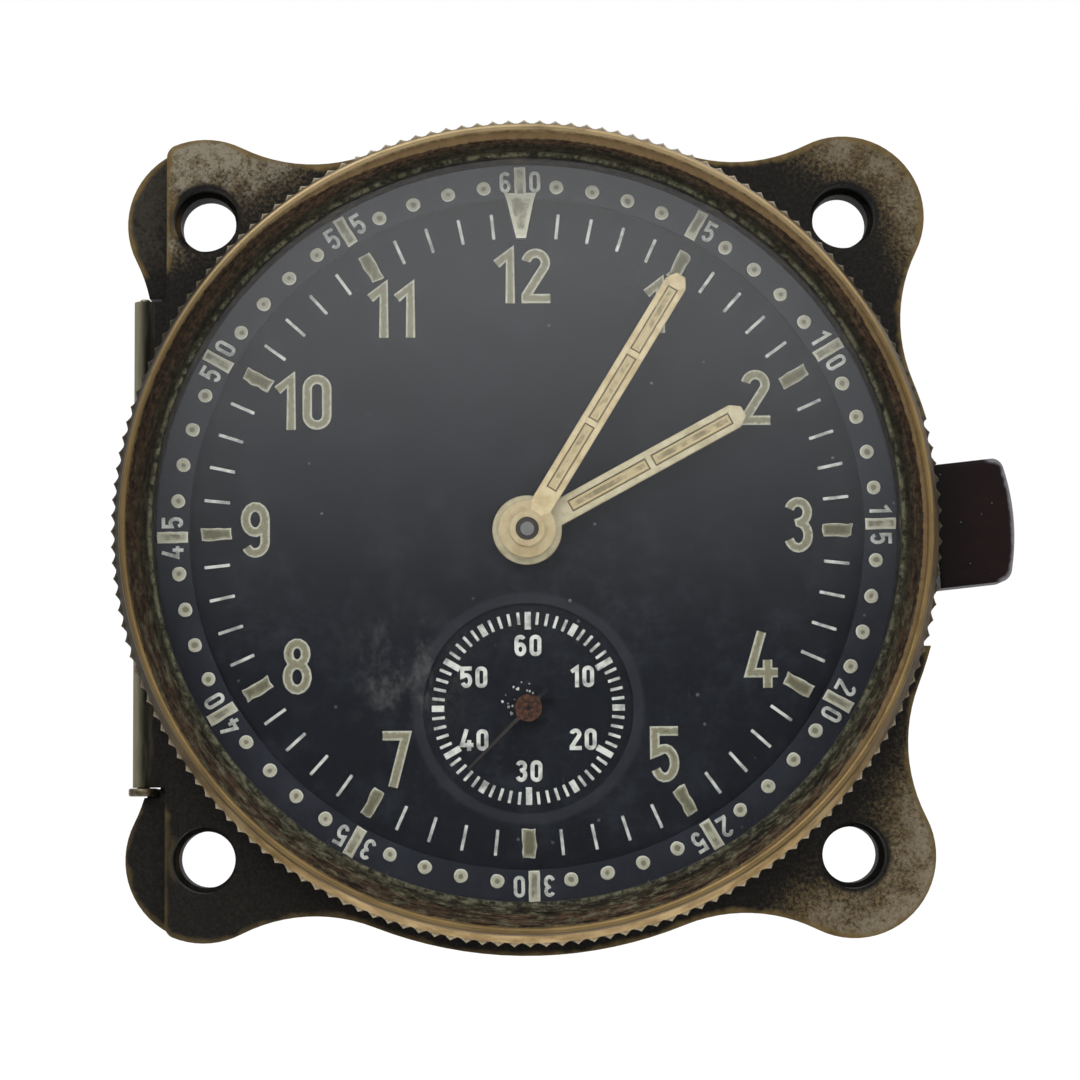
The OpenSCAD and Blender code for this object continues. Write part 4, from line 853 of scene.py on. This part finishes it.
PLATE = plate_paint()
CASE = case_paint()
BEZEL = bezel_brass()
PIN_BRASS = worn_brass("pin_brass", (44, 40, 31), (120, 111, 88))
RING_BRASS = worn_brass("ring_brass", (52, 44, 34), (118, 104, 76))
KEY_BRASS = worn_brass("key_brass", (138, 112, 71), (156, 128, 82), 0.36)
MOVEMENT_BRASS = turned_metal("movement_brass", (186, 152, 88), (214, 182, 116), 0.34)
STEEL = turned_metal("steel", (112, 112, 114), (150, 149, 148), 0.36)
BLUED_STEEL = turned_metal("blued_steel", (34, 38, 62), (58, 64, 96), 0.3)
DIAL = dial_paint("dial_paint", (17, 19, 24), (27, 29, 36))
CHAPTER = dial_paint("chapter_paint", (34, 36, 43), (46, 48, 56))
LUME = lume("numeral_lume", (208, 206, 193), (154, 151, 130), (98, 92, 68))
DOT_LUME = lume("dot_lume", (214, 212, 200), (203, 200, 182), (166, 161, 137))
HAND_LUME = lume("hand_lume", (150, 130, 92), (197, 181, 143), (178, 160, 121))
PRINT = white_print()
MINUTE_PAINT = hand_paint("minute_paint", (204, 187, 149), (180, 158, 115))
HOUR_PAINT = hand_paint("hour_paint", (194, 183, 153), (168, 155, 123))
RUST = rusty_steel()
RESIN = moulded_resin()
SEAL = seal_rubber()
GLASS = crystal_glass()

SLOT_FINISH = {"plate_paint": PLATE, "case_paint": CASE, "aged_brass": RING_BRASS, "steel": STEEL,
               "movement_brass": MOVEMENT_BRASS, "blued_steel": BLUED_STEEL, "dial_black": DIAL,
               "hand_cream": HOUR_PAINT, "bakelite": RESIN, "clear": GLASS, "seal": SEAL}
OWN_FINISH = {"chapter_ring": CHAPTER, "seconds_hand": RUST, "hinge_pin": PIN_BRASS, "cannon_pinion": RUST,
              "fourth_arbor": RUST}


def coat_nodes():
    """Gives every CAD node the finish of its slot, or its own."""
    for part in frame["record"]["subparts"]:
        mesh = nodes[part["node"]].data
        mesh.materials.clear()
        mesh.materials.append(OWN_FINISH.get(part["node"], SLOT_FINISH[part["material_slot"]]))


def bezel_profile():
    """The smooth part of the bezel: from the knurl over bead and slope, through the bore, to the foot."""
    crest, round_z = RIM_R - RIM_LEAN - RIM_ROUND, RIM_FRONT - RIM_ROUND
    rim = [(crest + RIM_ROUND * math.cos(a), round_z + RIM_ROUND * math.sin(a))
           for a in (math.radians(15 * i) for i in range(7))]
    bead = [(crest - inward, RIM_FRONT - down) for inward, down in BEAD_FALL]
    slope = [(VIEW_R + outward, z) for outward, z in LIP_SLOPE]
    bore = [(VIEW_R, LIP_UNDER), (BORE_R, LIP_UNDER), (BORE_R, BORE_FROM), (SKIRT_R, BORE_FROM)]
    foot = [(SKIRT_R, SKIRT_FROM), (RIM_R - FOOT_IN, SKIRT_FROM), (RIM_R, SKIRT_FROM + FOOT_UP),
            (RIM_R, KNURL_FROM)]
    return [(FLANK_R, KNURL_TO), (FLANK_R, FLANK_FROM)] + rim + bead + slope + bore + foot


def bezel_mesh():
    """The bezel: a turned ring, with its knurl made of copies of one flute."""
    step = 360 / KNURL_COUNT / KNURL_SAMPLES
    flute = Stock()
    bevel = KNURL_CHAMFER
    lanes = ((KNURL_FROM, RIM_R, None), (KNURL_FROM, RIM_R, bevel), (KNURL_FROM + bevel, RIM_R, 0),
             (KNURL_TO - bevel, FLANK_R, 0), (KNURL_TO, FLANK_R, bevel), (KNURL_TO, FLANK_R, None))
    rings = []
    for i in range(KNURL_SAMPLES + 1):
        cut = KNURL_DEPTH * (1 - abs(1 - 2 * i / KNURL_SAMPLES)) ** KNURL_ROUND
        places = []
        for z, least, inset in lanes:
            r = least if inset is None else max(least, KNURL_R - cut - inset)
            places.append((*turned(0, r, step * i), z))
        rings.append(flute.ring(places, [cut] * len(lanes)))
    flute.skin(rings, around=False)
    knurl = ring_of("knurl", flute.mesh("flute"), KNURL_COUNT, BEZEL, weld=WELD)
    body = Stock()
    profile = bezel_profile()
    no_gaps = [0.0] * len(profile)
    rings = [body.ring([(*turned(0, r, step * i), z) for r, z in profile], no_gaps)
             for i in range(KNURL_COUNT * KNURL_SAMPLES)]
    body.skin(rings, around=False, along=True)
    bm = bmesh.new()
    bm.from_mesh(body.mesh("turned_ring"))
    bm.from_mesh(knurl)
    bmesh.ops.remove_doubles(bm, verts=bm.verts, dist=JOIN)
    bmesh.ops.recalc_face_normals(bm, faces=bm.faces)
    made = bpy.data.meshes.new("bezel")
    bm.to_mesh(made)
    bm.free()
    smooth(made, BEZEL_SHARP)
    return made


def build_bezel():
    piece("bezel", bezel_mesh(), "bezel", BEZEL, "aged_brass", "bezel_ring")


def build_dressed():
    """Pieces that keep their node's shape, with rounded edges. The grip is also shortened and lowered."""
    for name, node, body, finish, slot, bevel in (
            ("flange_rear", "rear_plate", "mount", PLATE, "plate_paint", 0.3),
            ("flange_front", "front_plate", "clock", PLATE, "plate_paint", 0.3),
            ("grip", "latch_grip", "latch", RESIN, "bakelite", 0.45),
            ("case_shell", "case_can", "clock", CASE, "case_paint", 0.2),
            ("case_cover", "case_back", "clock", CASE, "case_paint", 0.25),
            ("wing_key", "winding_key", "winding", KEY_BRASS, "movement_brass", 0.25),
            ("setting_knob", "set_knob", "centre", KEY_BRASS, "movement_brass", 0.08),
            ("barrel_pin", "hinge_pin", "mount", PIN_BRASS, "aged_brass", 0.15),
            ("hour_hand_plate", "hour_hand", "hour", HOUR_PAINT, "hand_cream", 0.07),
            ("minute_hand_plate", "minute_hand", "centre", MINUTE_PAINT, "hand_cream", 0.07)):
        piece(name, dressed(node, bevel), body, finish, slot, node)


def build_dial():
    """Ticks, bars and numerals on the dial."""
    z = face_z("dial")
    tick = bar_at_twelve(TICK_W, TICK_IN, TICK_OUT, z, PRINT_T)
    painted_ring("minute_ticks", tick, 60, "clock", PRINT, leave_out=5)
    bar = bar_at_twelve(BAR_W, BAR_IN, BAR_OUT, z, LUME_T, BAR_PARTS)
    painted_ring("hour_bars", bar, 12, "clock", LUME, leave_out=12, ragged=BAR_RAGGED)
    figures = Stock()
    for hour, (x, y) in NUMERAL_AT.items():
        numeral(figures, str(hour), x * NUMERAL_IN, y * NUMERAL_IN, NUMERAL_H, NUMERAL_STROKE, z, LUME_T)
    painted("dial_numerals", figures.mesh("dial_numerals"), "clock", LUME)


def build_seconds_dial():
    """Ticks, bars and numbers on the sunk seconds dial."""
    low = face_z("dial") - SECONDS_SUNK
    for name, count, leave_out, width, inner, rise in (
            ("seconds_ticks", 60, 5, SECONDS_TICK_W, SECONDS_IN, PRINT_T),
            ("five_second_bars", 12, 2, SECONDS_BAR_W, SECONDS_IN, SECONDS_BAR_T),
            ("ten_second_bars", 6, 0, SECONDS_BAR_W, SECONDS_LONG_IN, SECONDS_BAR_T)):
        mark = bar_at_twelve(width, inner, SECONDS_OUT, low, rise)
        painted_ring(name, mark, count, "clock", PRINT, centre=(0, SECONDS_Y, 0), leave_out=leave_out)
    digits = Stock()
    for i in range(6):
        x, y = turned(0, SECONDS_DIGIT_AT, 60 * i)
        numeral(digits, str(i * 10 or 60), x, y + SECONDS_Y, SECONDS_DIGIT_H, SECONDS_DIGIT_STROKE, low,
                PRINT_T, wide=SECONDS_DIGIT_WIDE)
    painted("seconds_numerals", digits.mesh("seconds_numerals"), "clock", PRINT)


def build_flakes():
    """Chips of old paint that lie round the seconds pivot."""
    draw = random.Random(FLAKE_SEED)
    low = face_z("dial") - SECONDS_SUNK
    chips = Stock()
    for _ in range(FLAKE_COUNT):
        angle, reach = draw.uniform(*FLAKE_ANGLE), draw.uniform(*FLAKE_REACH)
        x, y = turned(0, reach, angle)
        y += SECONDS_Y
        size = draw.uniform(*FLAKE_R)
        sides = draw.randint(*FLAKE_SIDES)
        spans = [(size * draw.uniform(*FLAKE_UNEVEN), 2 * math.pi * i / sides) for i in range(sides)]
        foot = [(x + r * math.cos(a), y + r * math.sin(a), low) for r, a in spans]
        top = [(x + (px - x) * FLAKE_TOP, y + (py - y) * FLAKE_TOP, low + FLAKE_T) for px, py, _ in foot]
        chips.close([chips.ring(foot, [0.0] * sides), chips.ring(top, [0.05] * sides)])
    painted("dial_flakes", chips.mesh("dial_flakes"), "clock", PRINT)


def build_chapter():
    """Dots, bars and numbers of the chapter ring."""
    z = face_z("chapter_ring")
    dot = Stock()
    lay_dot(dot, 0, CHAPTER_DOT_AT, DOT_R, z, LUME_T)
    painted_ring("chapter_dots", dot, 60, "bezel", DOT_LUME, leave_out=5, first=POINTER_TURN, ragged=RAGGED)
    inner, outer = CHAPTER_BAR_AT - CHAPTER_BAR_L / 2, CHAPTER_BAR_AT + CHAPTER_BAR_L / 2
    bar = bar_at_twelve(CHAPTER_BAR_W, inner, outer, z, LUME_T, BAR_PARTS)
    painted_ring("chapter_bars", bar, 12, "bezel", DOT_LUME, first=POINTER_TURN, ragged=RAGGED)
    digits = Stock()
    for i in range(12):
        angle = 30 * i + POINTER_TURN
        text = str(i * 5 or 60)
        sides = (CHAPTER_DIGIT_OFF,) if len(text) == 1 else (-CHAPTER_DIGIT_OFF, CHAPTER_DIGIT_OFF)
        for digit, side in zip(text, sides):
            x, y = turned(side, CHAPTER_BAR_AT, angle)
            numeral(digits, digit, x, y, CHAPTER_DIGIT_H, CHAPTER_DIGIT_STROKE, z, PRINT_T, turn=angle)
    painted("chapter_numerals", digits.mesh("chapter_numerals"), "bezel", PRINT)


def build_pointer():
    """Paint of the pointer on the chapter ring."""
    z = face_z("chapter_ring")
    pointer = Stock()
    rings = []
    for shrink, rise, gap in ((1, 0, 0), (0.94, 0.9, 0.1), (0.6, 1, 0.4)):
        spots = [turned(px * shrink, POINTER_MIDDLE + (py - POINTER_MIDDLE) * shrink, POINTER_TURN)
                 for px, py in POINTER_OUTLINE]
        rings.append(pointer.ring([(px, py, z + LUME_T * rise) for px, py in spots], [gap] * len(spots)))
    pointer.close(rings)
    painted("pointer_paint", pointer.mesh("pointer_paint"), "bezel", DOT_LUME)


def build_panes():
    """Luminous panes in the windows of the hands."""
    for name, node, body, angle, start, length, count, width in (
            ("hour_panes", "hour_hand", "hour", HOUR_AT, HOUR_WINDOW_FROM, HOUR_PANE, HOUR_PANES, HOUR_W),
            ("minute_panes", "minute_hand", "centre", MINUTE_AT, MINUTE_WINDOW_FROM, MINUTE_PANE,
             MINUTE_PANES, MINUTE_W)):
        panes = Stock()
        half = width * PANE_SHARE / 2 - PANE_FIT
        back = -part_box(node)[1].y / MM
        for i in range(count):
            u = start + i * (length + PANE_GAP)
            lay_bar(panes, -half, half, u + PANE_FIT, u + length - PANE_FIT, back, PANE_T, inset=PANE_INSET,
                    angle=angle)
        painted(name, panes.mesh(name), body, HAND_LUME)


def stage_white():
    """Pale surface that looks white behind the object and still takes its shadow."""
    f = Finish("stage_white", roughness=0.9)
    f.wear("Base Color", f.mix(f.noise(0.002, detail=2), STAGE_TINT, (250, 250, 249)))
    path = f.add("ShaderNodeLightPath").outputs
    seen = f.most(path["Is Camera Ray"], f.most(path["Is Glossy Ray"], path["Is Transmission Ray"]))
    glow = f.add("ShaderNodeEmission", Color=(1, 1, 1, 1), Strength=1.0)
    both = f.add("ShaderNodeMixShader", _0=f.times(seen, STAGE_GLOW), _1=f.shader.outputs[0],
                 _2=glow.outputs[0])
    f.tree.links.new(both.outputs[0], f.tree.nodes["Material Output"].inputs["Surface"])
    return f.material


def build_stage():
    """A low pale floor that runs up into a backdrop."""
    bend_y, bend_z = BACK_Y - BEND_R, FLOOR_Z + BEND_R
    run = [(FLOOR_FROM, FLOOR_Z), (bend_y, FLOOR_Z)]
    run += [(bend_y + BEND_R * math.sin(a), bend_z - BEND_R * math.cos(a))
            for a in (math.radians(10 * i) for i in range(1, 10))]
    run += [(BACK_Y, BACK_TOP)]
    mesh = bpy.data.meshes.new("cove")
    points = [(x, y, z) for y, z in run for x in (-STAGE_HALF, STAGE_HALF)]
    mesh.from_pydata(points, [], [(2 * i, 2 * i + 1, 2 * i + 3, 2 * i + 2) for i in range(len(run) - 1)])
    smooth(mesh, STAGE_SHARP)
    cove = bpy.data.objects.new("cove", mesh)
    bpy.context.scene.collection.objects.link(cove)
    mesh.materials.append(stage_white())


def build_light():
    """Soft tent light from above and in front, with a dim low front that keeps the dial dark."""
    world = bpy.data.worlds.new("tent")
    bpy.context.scene.world = world
    world.use_nodes = True
    tree = world.node_tree
    tree.nodes.clear()
    way = add_node(tree, "ShaderNodeTexCoord").outputs["Generated"]
    height = add_node(tree, "ShaderNodeSeparateXYZ", _0=way).outputs["Z"]
    rise = add_node(tree, "ShaderNodeMapRange", interpolation_type="SMOOTHSTEP", Value=height,
                    From_Min=TENT_LOW, From_Max=TENT_HIGH, To_Min=TENT_DIM, To_Max=TENT_BRIGHT).outputs[0]
    tent = add_node(tree, "ShaderNodeBackground", Color=(1, 1, 1, 1), Strength=rise).outputs[0]
    white = add_node(tree, "ShaderNodeBackground", Color=(1, 1, 1, 1), Strength=1.0).outputs[0]
    seen = add_node(tree, "ShaderNodeLightPath").outputs["Is Camera Ray"]
    both = add_node(tree, "ShaderNodeMixShader", _0=seen, _1=tent, _2=white).outputs[0]
    add_node(tree, "ShaderNodeOutputWorld", _0=both)
    for name, (spot, power) in LAMPS.items():
        lamp = bpy.data.lights.new(name, "AREA")
        lamp.shape = "DISK"
        lamp.size = LAMP_SIZE
        lamp.energy = power
        made = bpy.data.objects.new(name, lamp)
        bpy.context.scene.collection.objects.link(made)
        made.location = spot
        made.rotation_euler = (-Vector(spot)).to_track_quat("-Z", "Y").to_euler()
        made.visible_camera = False


def build_camera():
    """The photograph's view: square to the dial from a little below, with a small rise of the lens."""
    eye = bpy.data.cameras.new("camera")
    eye.lens = LENS
    eye.sensor_width = SENSOR
    eye.shift_x = SHIFT_X
    eye.shift_y = SHIFT_Y
    eye.clip_start = CLIP_FROM
    made = bpy.data.objects.new("camera", eye)
    bpy.context.scene.collection.objects.link(made)
    made.location = Vector(EYE) * MM
    made.rotation_euler = (math.pi / 2 + EYE_TURN[0], *EYE_TURN[1:])
    bpy.context.scene.camera = made


bpy.context.scene.view_settings.view_transform = "Standard"
build_camera()
build_light()
build_stage()
coat_nodes()
build_dressed()
build_bezel()
build_dial()
build_seconds_dial()
build_flakes()
build_chapter()
build_pointer()
build_panes()
